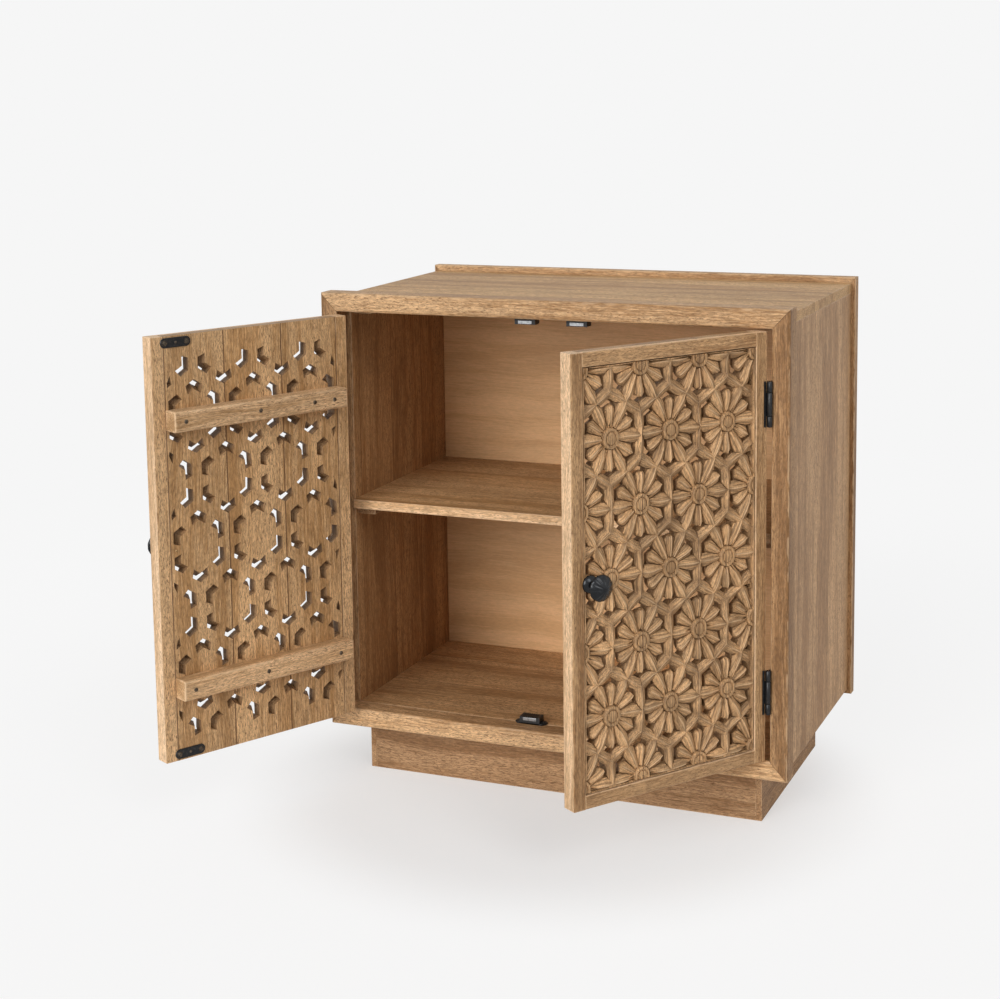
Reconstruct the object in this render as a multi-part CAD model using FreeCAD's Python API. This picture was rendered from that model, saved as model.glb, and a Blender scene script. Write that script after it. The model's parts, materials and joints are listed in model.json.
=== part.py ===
import FreeCAD, Part
import math
import os

# A small two-door cabinet in solid hardwood. The case has a raised frame round its front and its
# back, stands on a recessed plinth and holds one shelf. Each door is a pair of stiles and rails
# round a glued board that is carved with rosettes and pierced with a star lattice.
# X runs to the right, Y to the back and Z up. The origin is the middle of the underside of the
# plinth's front board. All lengths are in millimetres and all angles in degrees.

# Outside of the cabinet
width = 610.0
depth = 368.0
height = 635.0
overrun = 1.0

# Raised frames round the front and the back of the case
frame_clearance = 66.0
rail_height = 24.0
stile_width = 22.0
front_frame_depth = 30.0
back_frame_depth = 18.0
arris_chamfer = 2.0

# Boards of the case
side_inset = 6.0
top_inset = 8.0
bottom_inset = 6.0
side_thickness = 22.0
top_thickness = 13.0
floor_thickness = 18.0
back_thickness = 6.0
back_setback = 46.0
groove_depth = 6.0

# Shelf and the cleats under the shelf and the top
shelf_top = 363.0
shelf_thickness = 12.0
shelf_setback = 24.0
cleat_width = 25.0
cleat_height = 9.0
cleat_setback = 12.0
cleat_back_gap = 20.0
cleat_screw_radius = 3.2
cleat_screw_head = 1.6
cleat_screw_shares = (0.15, 0.85)

# Plinth
plinth_side_inset = 40.0
plinth_front_inset = 35.0
plinth_back_inset = 54.0
plinth_thickness = 20.0
plinth_lip = 7.0

# Doors
door_thickness = 20.0
hinge_gap = 2.0
rail_gap = 2.0
meeting_gap = 3.0
door_stile = 16.0
door_rail = 16.0
door_rail_depth = 7.0
door_chamfer = 1.0
left_opening = 117.0
right_opening = 56.0

# Carved lattice: rosettes in staggered rows on a pierced ground
lattice_columns = 3
lattice_rows = 6
cell_sides = 6
row_margin = 4.5
column_overrun = 1.7
ground_depth = 14.5
carving_root = 1.0
hub_radius = 10.6
hub_height = 12.1
long_petal_tip_gap = 1.2
long_petal_width = 12.4
long_petal_height = 12.1
short_petal_reach = 32.0
petal_heel_height = 9.9
long_widest_share = 0.76
pierced_bar = 13.0
pierced_arm = 13.0
pierced_slot = 6.3

# Battens across the inside of each door
batten_height = 25.0
batten_thickness = 22.0
batten_chamfer = 2.0
upper_batten_drop = 100.0
lower_batten_rise = 91.0
batten_screw_radius = 2.6
batten_screw_head = 0.8
upper_screw_shares = (0.06, 0.48, 0.80, 0.92)
lower_screw_shares = (0.06, 0.48, 0.92)

# Butt hinges
hinge_length = 54.0
hinge_end_inset = 58.0
hinge_barrel_radius = 3.2
hinge_knuckle = 13.0
hinge_knuckle_gap = 0.3
hinge_leaf_thickness = 0.75
hinge_leaf_depth = 17.0
hinge_face_lip = 5.0
hinge_face_thickness = 1.0
hinge_stand_off = 0.35
hinge_pin_radius = 1.6
hinge_pin_clearance = 0.05

# Knobs
knob_inset = 24.0
knob_rose_radius = 10.8
knob_rose_height = 6.0
rose_outline_shares = ((1.0, 0.0), (1.0, 0.3), (0.82, 0.74), (0.5, 1.0))
knob_pad_radius = 10.4
knob_stem_radius = 4.6
knob_stem_length = 10.0
knob_head_radius = 15.8
knob_head_height = 14.0
head_outline_shares = ((0.55, 0.0), (1.0, 0.28), (0.94, 0.52), (0.62, 0.88), (0.22, 1.0))
knob_sides = 12
knob_shank_radius = 2.1
knob_shank_length = 14.0

# Magnetic catches and the strike plates that they hold
catch_offset = 34.0
catch_length = 42.0
catch_width = 15.0
catch_plate = 2.0
catch_ear_chamfer = 4.5
catch_body_length = 27.0
catch_height = 9.5
catch_gap = 0.4
catch_screw_radius = 2.2
catch_screw_head = 1.0
magnet_length = 18.0
magnet_height = 4.0
magnet_depth = 6.0
magnet_stand_out = 0.8
strike_length = 41.0
strike_height = 12.0
strike_thickness = 1.4
strike_edge_gap = 2.0
strike_hole_radius = 2.0
strike_hole_pitch = 15.0
strike_screw_radius = 2.2
strike_screw_head = 0.8
strike_end_runs = 4

# Flat sides that stand for the curve of small turned pieces
screw_sides = 6
barrel_sides = 8

# Angles of the lattice and of the turned pieces
angle_slack = 1.0
right_angle = 90.0
full_turn = 4 * right_angle
cell_turn = full_turn / cell_sides

# Places worked out from the sizes
front = -(plinth_front_inset + plinth_thickness / 2)
back = front + depth
case_front = front + front_frame_depth
case_back = back - back_frame_depth
case_bottom = frame_clearance + bottom_inset
case_top = height - top_inset
side_face = width / 2 - side_inset
inner_face = side_face - side_thickness
opening_half = width / 2 - stile_width
opening_bottom = frame_clearance + rail_height
opening_top = height - rail_height
floor_top = case_bottom + floor_thickness
ceiling = case_top - top_thickness
back_board_rear = back - back_setback
back_board_front = back_board_rear - back_thickness
shelf_bottom = shelf_top - shelf_thickness
shelf_front = front + shelf_setback
plinth_half = width / 2 - plinth_side_inset
plinth_front_face = front + plinth_front_inset
plinth_back_face = back - plinth_back_inset
door_width = opening_half - hinge_gap - meeting_gap / 2
door_edge = opening_half - hinge_gap
door_free_edge = door_edge - door_width
door_bottom = opening_bottom + rail_gap
door_top = opening_top - rail_gap
door_back = front + door_thickness
field_right = door_edge - door_stile
field_left = door_free_edge + door_stile
field_bottom = door_bottom + door_rail
field_top = door_top - door_rail
field_middle_x = (field_left + field_right) / 2
field_middle_z = (field_bottom + field_top) / 2
hinge_x = opening_half - hinge_gap / 2
hinge_y = front - hinge_barrel_radius - hinge_stand_off
knob_x = door_free_edge + knob_inset
pitch = (field_right - field_left + 2 * column_overrun) / lattice_columns
row_pitch = (field_top - field_bottom - 2 * row_margin) / lattice_rows
regular_row = pitch * math.sin(math.radians(cell_turn))
stretch = row_pitch / regular_row
ground = front + ground_depth


def point(x, y, z):
    return FreeCAD.Vector(x, y, z)


def block(x0, x1, y0, y1, z0, z1):
    """A board between two opposite corners."""
    corner = point(min(x0, x1), min(y0, y1), min(z0, z1))
    return Part.makeBox(abs(x1 - x0), abs(y1 - y0), abs(z1 - z0), corner)


def prism(points, direction):
    """A flat outline drawn out along a direction."""
    return Part.Face(Part.makePolygon(points + points[:1])).extrude(direction)


def solid_of(faces):
    """A closed solid from flat faces, each given by its corners."""
    shell = Part.Shell([Part.Face(Part.makePolygon(list(f) + [f[0]])) for f in faces])
    solid = Part.Solid(shell)
    if solid.Volume < 0:
        solid.reverse()
    return solid


def turned(start, direction, sides, rings):
    """A turned piece with flat sides, from rings of a radius and a distance along its axis."""
    across = point(1, 0, 0)
    other = direction.cross(across)
    loops = []
    for radius, distance in rings:
        loop = []
        for k in range(sides):
            angle = math.radians(full_turn * (k + 0.5) / sides)
            loop.append(start + direction * distance + across * (radius * math.cos(angle))
                        + other * (radius * math.sin(angle)))
        loops.append(loop)
    faces = [loops[0], loops[-1]]
    for near, far in zip(loops, loops[1:]):
        for k in range(sides):
            follow = (k + 1) % sides
            faces.append((near[k], near[follow], far[follow], far[k]))
    return solid_of(faces)


def rod(radius, length, start, direction, sides):
    return turned(start, direction, sides, ((radius, 0), (radius, length)))


def round_bore(radius, length, start, direction, sides):
    """A bore whose flat sides leave room for a round bar of the radius at every angle."""
    return rod(radius / math.cos(math.radians(full_turn / sides / 2)), length, start, direction,
               sides)


def chamfer_long_edges(board, axis, size, keep):
    """Chamfer the edges that run along an axis where keep(x, y, z) of the edge's middle is true."""
    chosen = []
    for edge in board.Edges:
        run = edge.Vertexes[-1].Point - edge.Vertexes[0].Point
        if abs(run.normalize().dot(axis)) > math.cos(math.radians(angle_slack)):
            middle = edge.CenterOfMass
            if keep(middle.x, middle.y, middle.z):
                chosen.append(edge)
    return board.makeChamfer(size, chosen)


def mirrored(shape):
    return shape.mirror(point(0, 0, 0), point(1, 0, 0))


# The raised frames: four mitred members round each end of the case

def frame_ring(prefix, y0, y1, show):
    """Two rails and two stiles, mitred at the corners, with the arrises of the show face eased."""
    half = width / 2
    outer = [(-half, frame_clearance), (half, frame_clearance), (half, height), (-half, height)]
    inner = [(-opening_half, opening_bottom), (opening_half, opening_bottom),
             (opening_half, opening_top), (-opening_half, opening_top)]
    across = point(1, 0, 0)
    up = point(0, 0, 1)
    members = {
        "bottom_rail": (0, block(-half, half, y0, y1, frame_clearance, opening_bottom), across),
        "right_stile": (1, block(half, opening_half, y0, y1, frame_clearance, height), up),
        "top_rail": (2, block(-half, half, y0, y1, opening_top, height), across),
        "left_stile": (3, block(-half, -opening_half, y0, y1, frame_clearance, height), up),
    }
    pieces = {}
    for name, (side, bar, axis) in members.items():
        bar = chamfer_long_edges(bar, axis, arris_chamfer,
                                 lambda x, y, z: abs(y - show) < overrun)
        follow = (side + 1) % len(outer)
        corners = [outer[side], outer[follow], inner[follow], inner[side]]
        wedge = prism([point(x, y0, z) for x, z in corners], point(0, y1 - y0, 0))
        pieces[prefix + "_" + name] = bar.common(wedge)
    return pieces


# The boards of the case

def case_boards():
    side = block(inner_face, side_face, case_front, case_back, case_bottom, ceiling)
    top = block(-side_face, side_face, case_front, case_back, ceiling, case_top)
    floor = block(-inner_face, inner_face, case_front, case_back, case_bottom, floor_top)
    back_board = block(-inner_face - groove_depth, inner_face + groove_depth,
                       back_board_front, back_board_rear,
                       floor_top - groove_depth, ceiling + groove_depth)
    side = side.cut(back_board)
    return {
        "top_board": top.cut(back_board),
        "floor_board": floor.cut(back_board),
        "right_side_board": side,
        "left_side_board": mirrored(side),
        "back_board": back_board,
    }


def shelf_and_cleats():
    pieces = {"shelf": block(-inner_face, inner_face, shelf_front, back_board_front,
                             shelf_bottom, shelf_top)}
    cleat_front = shelf_front + cleat_setback
    cleat_back = back_board_front - cleat_back_gap
    screws = []
    for name, top in (("shelf_cleat", shelf_bottom), ("top_cleat", ceiling)):
        cleat = block(inner_face - cleat_width, inner_face, cleat_front, cleat_back,
                      top - cleat_height, top)
        pieces["right_" + name] = cleat
        pieces["left_" + name] = mirrored(cleat)
        for share in cleat_screw_shares:
            y = cleat_front + share * (cleat_back - cleat_front)
            head = rod(cleat_screw_radius, cleat_screw_head,
                       point(inner_face - cleat_width / 2, y, top - cleat_height),
                       point(0, 0, -1), screw_sides)
            screws += [head, mirrored(head)]
    pieces["cleat_screws"] = Part.makeCompound(screws)
    return pieces


def plinth():
    """A box of four boards. The side boards lap the ends of the front and back boards by a lip."""
    half = plinth_half - plinth_lip
    front_board = block(-half, half, plinth_front_face, plinth_front_face + plinth_thickness,
                        0, case_bottom)
    back_board = block(-half, half, plinth_back_face - plinth_thickness, plinth_back_face,
                       0, case_bottom)
    side = block(plinth_half - plinth_thickness, plinth_half, plinth_front_face,
                 plinth_back_face, 0, case_bottom)
    side = side.cut(front_board).cut(back_board)
    return {
        "plinth_front": front_board,
        "plinth_back": back_board,
        "plinth_right": side,
        "plinth_left": mirrored(side),
    }


# The carved and pierced board of a door, drawn on the right door when it is shut

def pattern_point(x, z, y):
    """A point of the lattice, from the middle of the field, stretched to the height of the rows."""
    return point(field_middle_x + x, y, field_middle_z + z * stretch)


def polar(centre, angle, distance, aside, y):
    """A point at a distance along a direction from a centre, and aside from that line."""
    ca = math.cos(math.radians(angle))
    sa = math.sin(math.radians(angle))
    return pattern_point(centre[0] + distance * ca - aside * sa,
                         centre[1] + distance * sa + aside * ca, y)


def rosette_centres():
    """Centres in staggered rows. Every second row has one more, on the edges of the field."""
    centres = []
    for row in range(lattice_rows + 1):
        z = (row - lattice_rows / 2) * regular_row
        shifted = (row - lattice_rows // 2) % 2
        for column in range(lattice_columns + shifted):
            x = (column - (lattice_columns - 1 + shifted) / 2) * pitch
            centres.append((x, z))
    return centres


def rosette():
    """A flat hub. Its sides put out by turns a long shouldered petal and a short pointed one."""
    sides = 2 * cell_sides
    step = full_turn / sides
    flat = hub_radius * math.cos(math.radians(step / 2))
    reach = pitch / 2 - long_petal_tip_gap
    widest = reach * long_widest_share
    middle = (0, 0)
    rim = []
    foot = []
    faces = []
    for k in range(sides):
        angle = step * k
        a = polar(middle, angle - step / 2, hub_radius, 0, ground)
        b = polar(middle, angle + step / 2, hub_radius, 0, ground)
        a_top = polar(middle, angle - step / 2, hub_radius, 0, ground - hub_height)
        b_top = polar(middle, angle + step / 2, hub_radius, 0, ground - hub_height)
        heel = polar(middle, angle, flat, 0, ground - petal_heel_height)
        faces.append((a, heel, b, b_top, a_top))
        rim.append(a_top)
        foot.append(a)
        if k % 2:
            tip = polar(middle, angle, short_petal_reach, 0, ground)
            faces += [(a, tip, heel), (b, heel, tip)]
            foot.append(tip)
        else:
            tip = polar(middle, angle, reach, 0, ground)
            crest = polar(middle, angle, widest, 0, ground - long_petal_height)
            right = polar(middle, angle, widest, -long_petal_width / 2, ground)
            left = polar(middle, angle, widest, long_petal_width / 2, ground)
            faces += [(a, right, crest), (a, crest, heel), (right, tip, crest),
                      (b, crest, left), (b, heel, crest), (left, crest, tip)]
            foot += [right, tip, left]
    sunk = [corner + point(0, carving_root, 0) for corner in foot]
    for k in range(len(foot)):
        follow = (k + 1) % len(foot)
        faces.append((foot[k], foot[follow], sunk[follow], sunk[k]))
    return solid_of([rim, sunk] + faces)


def piercing(centre, angle):
    """A bent slot through the ground in one corner of a rosette's six-sided cell."""
    sine = math.sin(math.radians(cell_turn))
    lead = pitch / (2 * sine) - pierced_bar / 2 / sine
    bend = lead - pierced_slot / sine
    outer = polar(centre, angle, lead, 0, ground - overrun)
    inner = polar(centre, angle, bend, 0, ground - overrun)
    outline = [outer]
    ends = []
    for side in (1, -1):
        turn = angle + side * 2 * cell_turn
        along = math.radians(turn)
        inward = math.radians(turn + side * right_angle)
        start_x = centre[0] + lead * math.cos(math.radians(angle))
        start_z = centre[1] + lead * math.sin(math.radians(angle))
        far_x = start_x + pierced_arm * math.cos(along)
        far_z = start_z + pierced_arm * math.sin(along)
        near_x = far_x + pierced_slot * math.cos(inward)
        near_z = far_z + pierced_slot * math.sin(inward)
        ends.append((pattern_point(far_x, far_z, ground - overrun),
                     pattern_point(near_x, near_z, ground - overrun)))
    outline += [ends[0][0], ends[0][1], inner, ends[1][1], ends[1][0]]
    return prism(outline, point(0, door_thickness - ground_depth + 2 * overrun, 0))


def carved_board():
    """The glued board between the stiles, with its rebates, rosettes and piercings."""
    profile = [point(field_left, y, z) for y, z in (
        (front + door_rail_depth, door_bottom), (front + door_rail_depth, field_bottom),
        (ground, field_bottom), (ground, field_top), (front + door_rail_depth, field_top),
        (front + door_rail_depth, door_top), (door_back, door_top), (door_back, door_bottom))]
    board = prism(profile, point(field_right - field_left, 0, 0))
    field = block(field_left, field_right, front, door_back, field_bottom, field_top)
    window = block(field_left, field_right, ground - 2 * overrun, door_back + 2 * overrun,
                   field_bottom, field_top)
    seat = point(knob_x, front, field_middle_z)
    inward = point(0, 1, 0)
    holes = []
    raised = [rod(knob_pad_radius, ground_depth + carving_root, seat, inward, knob_sides)]
    pattern = rosette()
    for x, z in rosette_centres():
        flower = pattern.copy()
        flower.translate(point(x, 0, z * stretch))
        raised.append(flower)
        for k in range(cell_sides):
            hole = piercing((x, z), cell_turn * (k + 0.5)).common(window)
            if hole.Volume > 0:
                holes.append(hole)
    board = board.cut(Part.makeCompound(holes))
    inside = []
    for piece in raised:
        inside += piece.common(field).Solids
    board = board.multiFuse(inside)
    return board.cut(rod(knob_shank_radius, knob_shank_length, seat, inward, screw_sides))


def door_frame():
    """Two full-height stiles, and a rail set into the front of the board at each end."""
    up = point(0, 0, 1)
    across = point(1, 0, 0)
    free = block(door_free_edge, field_left, front, door_back, door_bottom, door_top)
    free = chamfer_long_edges(free, up, door_chamfer, lambda x, y, z: x < field_left - overrun)
    hinge = block(field_right, door_edge, front, door_back, door_bottom, door_top)
    top = block(field_left, field_right, front, front + door_rail_depth, field_top, door_top)
    top = chamfer_long_edges(top, across, door_chamfer,
                           lambda x, y, z: z > field_top + overrun and y < front + overrun)
    bottom = block(field_left, field_right, front, front + door_rail_depth,
                   door_bottom, field_bottom)
    bottom = chamfer_long_edges(bottom, across, door_chamfer,
                              lambda x, y, z: z < field_bottom - overrun and y < front + overrun)
    return {"free_stile": free, "hinge_stile": hinge, "top_rail": top, "bottom_rail": bottom}


def battens():
    """Two battens screwed across the inside of the board, between the stiles."""
    pieces = {}
    screws = []
    rows = (("upper_batten", door_top - upper_batten_drop, upper_screw_shares),
            ("lower_batten", door_bottom + lower_batten_rise, lower_screw_shares))
    for name, z, shares in rows:
        batten = block(field_left, field_right, door_back, door_back + batten_thickness,
                       z - batten_height / 2, z + batten_height / 2)
        batten = chamfer_long_edges(batten, point(1, 0, 0), batten_chamfer,
                                  lambda x, y, z: y > door_back + overrun)
        for share in shares:
            x = field_left + share * (field_right - field_left)
            screws.append(rod(batten_screw_radius, batten_screw_head,
                              point(x, door_back + batten_thickness, z), point(0, 1, 0),
                              screw_sides))
        pieces[name] = batten
    pieces["batten_screws"] = Part.makeCompound(screws)
    return pieces


def strike_outline(z):
    """A round-ended outline on the back of the door, its ends in short straight runs."""
    radius = strike_height / 2
    straight = strike_length / 2 - radius
    corners = []
    for side, start in ((1, right_angle), (-1, -right_angle)):
        for k in range(strike_end_runs + 1):
            angle = math.radians(start - 2 * right_angle * k / strike_end_runs)
            corners.append(point(catch_offset + side * straight + radius * math.cos(angle),
                                 door_back, z + radius * math.sin(angle)))
    return corners


def strike_plates():
    """Round-ended steel plates at the free corners, with a screw at each end and a spare hole."""
    inward = point(0, 1, 0)
    plates = []
    screws = []
    for z in (door_top - strike_edge_gap - strike_height / 2,
              door_bottom + strike_edge_gap + strike_height / 2):
        plate = prism(strike_outline(z), inward * strike_thickness)
        plates.append(plate.cut(rod(strike_hole_radius, strike_thickness,
                                    point(catch_offset, door_back, z), inward, screw_sides)))
        for x in (catch_offset - strike_hole_pitch, catch_offset + strike_hole_pitch):
            screws.append(rod(strike_screw_radius, strike_screw_head,
                              point(x, door_back + strike_thickness, z), inward, screw_sides))
    return {"strike_plates": Part.makeCompound(plates), "strike_screws": Part.makeCompound(screws)}


def knob():
    """A faceted mushroom knob on a domed round rose, held by its own threaded shank."""
    out = point(0, -1, 0)
    seat = point(knob_x, front, field_middle_z)
    rose = turned(seat, out, knob_sides,
                  [(share * knob_rose_radius, rise * knob_rose_height)
                   for share, rise in rose_outline_shares])
    rose = rose.cut(rod(knob_shank_radius, knob_rose_height, seat, out, screw_sides))
    stem_top = knob_rose_height + knob_stem_length
    rings = [(knob_stem_radius, knob_rose_height), (knob_stem_radius, stem_top)]
    rings += [(share * knob_head_radius, stem_top + rise * knob_head_height)
              for share, rise in head_outline_shares]
    head = turned(seat, out, knob_sides, rings)
    shank = rod(knob_shank_radius, knob_shank_length + knob_rose_height,
                seat - out * knob_shank_length, out, screw_sides)
    return {"knob": head.fuse(shank), "knob_rose": rose}


# Hinges: the case leaf carries the two end knuckles, the door leaf the middle one

def hinge_centres():
    return (door_top - hinge_end_inset - hinge_length / 2,
            door_bottom + hinge_end_inset + hinge_length / 2)


def hinge_case_leaf(z):
    up = point(0, 0, 1)
    bottom = z - hinge_length / 2
    plate = block(opening_half - hinge_leaf_thickness, opening_half, hinge_y,
                  front + hinge_leaf_depth, bottom, bottom + hinge_length)
    middle = block(hinge_x - 2 * hinge_barrel_radius, opening_half + overrun,
                   hinge_y - 2 * hinge_barrel_radius, front - hinge_stand_off / 2,
                   bottom + hinge_knuckle, bottom + hinge_length - hinge_knuckle)
    knuckles = [rod(hinge_barrel_radius, hinge_knuckle, point(hinge_x, hinge_y, start), up,
                    barrel_sides)
                for start in (bottom, bottom + hinge_length - hinge_knuckle)]
    leaf = plate.cut(middle).multiFuse(knuckles)
    return leaf.cut(rod(hinge_pin_radius, hinge_length, point(hinge_x, hinge_y, bottom), up,
                        barrel_sides))


def hinge_door_leaf(z):
    up = point(0, 0, 1)
    bottom = z - hinge_length / 2
    end = hinge_knuckle + hinge_knuckle_gap
    clear = hinge_barrel_radius + hinge_knuckle_gap
    plate = block(door_edge, door_edge + hinge_leaf_thickness, front, front + hinge_leaf_depth,
                  bottom, bottom + hinge_length)
    lip = block(door_edge - hinge_face_lip, door_edge + hinge_leaf_thickness,
                front - hinge_face_thickness, front, bottom, bottom + hinge_length)
    for low in (bottom, bottom + hinge_length - end):
        lip = lip.cut(block(hinge_x - clear, hinge_x + clear, hinge_y, front, low, low + end))
    root = block(door_edge, door_edge + hinge_leaf_thickness, hinge_y, front, bottom + end,
                 bottom + hinge_length - end)
    knuckle = rod(hinge_barrel_radius, hinge_length - 2 * end,
                  point(hinge_x, hinge_y, bottom + end), up, barrel_sides)
    leaf = plate.multiFuse([lip, root, knuckle])
    return leaf.cut(round_bore(hinge_pin_radius + hinge_pin_clearance, hinge_length,
                               point(hinge_x, hinge_y, bottom), up, barrel_sides))


def case_hinges():
    leaves = [hinge_case_leaf(z) for z in hinge_centres()]
    pins = [rod(hinge_pin_radius, hinge_length, point(hinge_x, hinge_y, z - hinge_length / 2),
                point(0, 0, 1), barrel_sides) for z in hinge_centres()]
    return {
        "right_hinge_case_leaves": Part.makeCompound(leaves),
        "left_hinge_case_leaves": mirrored(Part.makeCompound(leaves)),
        "hinge_pins": Part.makeCompound(pins + [mirrored(pin) for pin in pins]),
    }


# Magnetic catches under the top rail and on the floor, just behind the doors

def catches():
    pieces = {}
    magnets = []
    screws = []
    y0 = door_back + strike_thickness + strike_screw_head + catch_gap
    for level, seat, up in (("top", opening_top, -1), ("bottom", opening_bottom, 1)):
        base = block(catch_offset - catch_length / 2, catch_offset + catch_length / 2, y0,
                     y0 + catch_width, seat, seat + up * catch_plate)
        base = chamfer_long_edges(base, point(0, 0, 1), catch_ear_chamfer, lambda x, y, z: True)
        body = block(catch_offset - catch_body_length / 2, catch_offset + catch_body_length / 2,
                     y0, y0 + catch_width, seat, seat + up * catch_height)
        magnet_z = seat + up * (catch_height - magnet_height / 2 - magnet_stand_out)
        magnet = block(catch_offset - magnet_length / 2, catch_offset + magnet_length / 2,
                       y0 - magnet_stand_out / 2, y0 + magnet_depth,
                       magnet_z - magnet_height / 2, magnet_z + magnet_height / 2)
        housing = base.fuse(body).removeSplitter().cut(magnet)
        pieces["right_" + level + "_catch"] = housing
        pieces["left_" + level + "_catch"] = mirrored(housing)
        magnets += [magnet, mirrored(magnet)]
        ear = (catch_length + catch_body_length) / 4
        for x in (catch_offset - ear, catch_offset + ear):
            head = rod(catch_screw_radius, catch_screw_head,
                       point(x, y0 + catch_width / 2, seat + up * catch_plate), point(0, 0, up),
                       screw_sides)
            screws += [head, mirrored(head)]
    pieces["catch_magnets"] = Part.makeCompound(magnets)
    pieces["catch_screws"] = Part.makeCompound(screws)
    return pieces


# A door is drawn shut on the right, mirrored for the left, and swung open about its hinge pins

def door_pieces():
    pieces = {}
    pieces.update(door_frame())
    pieces["carved_board"] = carved_board()
    pieces.update(battens())
    pieces.update(strike_plates())
    pieces.update(knob())
    leaves = [hinge_door_leaf(z) for z in hinge_centres()]
    pieces["hinge_leaves"] = Part.makeCompound(leaves)
    return pieces


def swung(shape, side):
    if side == "left":
        shape = mirrored(shape)
        shape.rotate(point(-hinge_x, hinge_y, 0), point(0, 0, 1), -left_opening)
    else:
        shape = shape.copy()
        shape.rotate(point(hinge_x, hinge_y, 0), point(0, 0, 1), right_opening)
    return shape


def build():
    nodes = {}
    nodes.update(frame_ring("front", front, case_front, front))
    nodes.update(frame_ring("back", case_back, back, back))
    nodes.update(case_boards())
    nodes.update(shelf_and_cleats())
    nodes.update(plinth())
    nodes.update(case_hinges())
    nodes.update(catches())
    door = door_pieces()
    for side in ("left", "right"):
        for name, shape in door.items():
            nodes[side + "_door_" + name] = swung(shape, side)
    return nodes


os.makedirs("parts", exist_ok=True)
for node_name, node_shape in build().items():
    node_shape.exportStep("parts/" + node_name + ".step")
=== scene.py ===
import json
import math

import bmesh
import bpy
import numpy as np
from mathutils import Matrix, Vector, noise
from mathutils.geometry import delaunay_2d_cdt


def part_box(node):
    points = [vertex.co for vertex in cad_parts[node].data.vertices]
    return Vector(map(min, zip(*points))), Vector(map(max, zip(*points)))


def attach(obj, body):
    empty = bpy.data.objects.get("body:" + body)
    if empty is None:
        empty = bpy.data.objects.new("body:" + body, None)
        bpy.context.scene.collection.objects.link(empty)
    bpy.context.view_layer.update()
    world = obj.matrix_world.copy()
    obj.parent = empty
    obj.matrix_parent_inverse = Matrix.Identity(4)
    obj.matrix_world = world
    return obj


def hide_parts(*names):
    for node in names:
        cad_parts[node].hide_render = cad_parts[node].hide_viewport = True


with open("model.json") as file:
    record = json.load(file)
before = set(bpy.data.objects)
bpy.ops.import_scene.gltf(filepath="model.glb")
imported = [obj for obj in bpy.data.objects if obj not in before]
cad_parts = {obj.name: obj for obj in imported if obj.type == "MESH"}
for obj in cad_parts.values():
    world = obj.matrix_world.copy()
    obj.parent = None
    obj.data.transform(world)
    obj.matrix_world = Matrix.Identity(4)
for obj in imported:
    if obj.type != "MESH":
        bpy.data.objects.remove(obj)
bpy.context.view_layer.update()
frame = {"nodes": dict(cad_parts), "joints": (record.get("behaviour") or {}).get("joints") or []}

# Plinth. Four hardwood boards, glued into a box with lapped corners, that the case stands on.
# The wood of the whole cabinet starts here: fine streaks and short dark pores along the grain,
# a tone of its own for each glued plank, edges rubbed lighter, and a thin coat of wax.

mm = 0.001
wood_light = (198, 162, 123)
wood_dark = (152, 115, 79)
wood_pore = (92, 62, 38)
wood_worn = (209, 175, 138)
single_board = 9.0
plank_tones = (0.92, 0.16)
plank_stride = 3.7
grain_shift = 0.83
depth_shift = 0.19
edge_of_seam = (0.4 * mm, 1.1 * mm)

# Each noise of the grain: waves to a metre along, across and deep in the board, detail, roughness
grains = {"streaks": ((24.0, 560.0, 560.0), 5.0, 0.74), "bands": ((2.2, 38.0, 38.0), 3.0, 0.55),
          "clouds": ((5.0, 14.0, 14.0), 2.0, 0.55), "pores": ((230.0, 1500.0, 1500.0), 2.0, 0.5),
          "mottle": ((120.0, 560.0, 560.0), 3.0, 0.7), "flecks": ((90.0, 640.0, 640.0), 2.0, 0.5),
          "breaks": ((45.0, 160.0, 160.0), 3.0, 0.6)}
slow_wander = ((5.0, 9.0, 9.0), 1.0, 0.55)
wander_reach = 22 * mm

# Two levels of a noise, and what they are spread to where that isn't 0 to 1
figure_levels = (0.42, 0.58)
cloud_levels = (0.3, 0.7, 0.92, 1.08)
mottle_levels = (0.36, 0.64, -0.24, 0.18)
crowding_levels = (0.42, 0.62, 0.7, 0.61)
fleck_levels = (0.58, 0.72, 0.0, 0.45)
break_levels = (0.35, 0.65, 0.3, 2)
pore_softness = 0.06
rubbed_share = 0.75

# Roughness of the wax, and what the streaks and the pores add to it
wax_roughness = 0.62
streak_roughness = -0.16
pore_roughness = 0.2
pore_relief = -1.0
seam_relief = -1.5


def tint(shade):
    """A colour as the eye reads it, in 0 to 255, turned into light."""
    linear = []
    for part in shade:
        part = part / 255
        linear.append(part / 12.92 if part <= 0.04045 else ((part + 0.055) / 1.055) ** 2.4)
    return (*linear, 1.0)


def node(tree, kind, feeds=(), **settings):
    """Add a shader node, make its settings, and feed its inputs with values or other outputs."""
    made = tree.nodes.new("ShaderNode" + kind)
    for name, value in settings.items():
        setattr(made, name, value)
    for name, value in dict(feeds).items():
        if isinstance(value, bpy.types.NodeSocket):
            tree.links.new(value, made.inputs[name])
        else:
            made.inputs[name].default_value = value
    return made


def reckon(tree, operation, *values):
    return node(tree, "Math", enumerate(values), operation=operation).outputs[0]


def spread(tree, value, low, high, out_low=0.0, out_high=1.0):
    """Stretch a value between two levels over a new range, with soft ends."""
    feeds = {"Value": value, "From Min": low, "From Max": high,
             "To Min": out_low, "To Max": out_high}
    return node(tree, "MapRange", feeds, interpolation_type="SMOOTHSTEP").outputs[0]


def blend_colours(tree, share, first, second):
    """Mix two colours by a share."""
    return node(tree, "Mix", {0: share, 6: first, 7: second}, data_type="RGBA").outputs[2]


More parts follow.
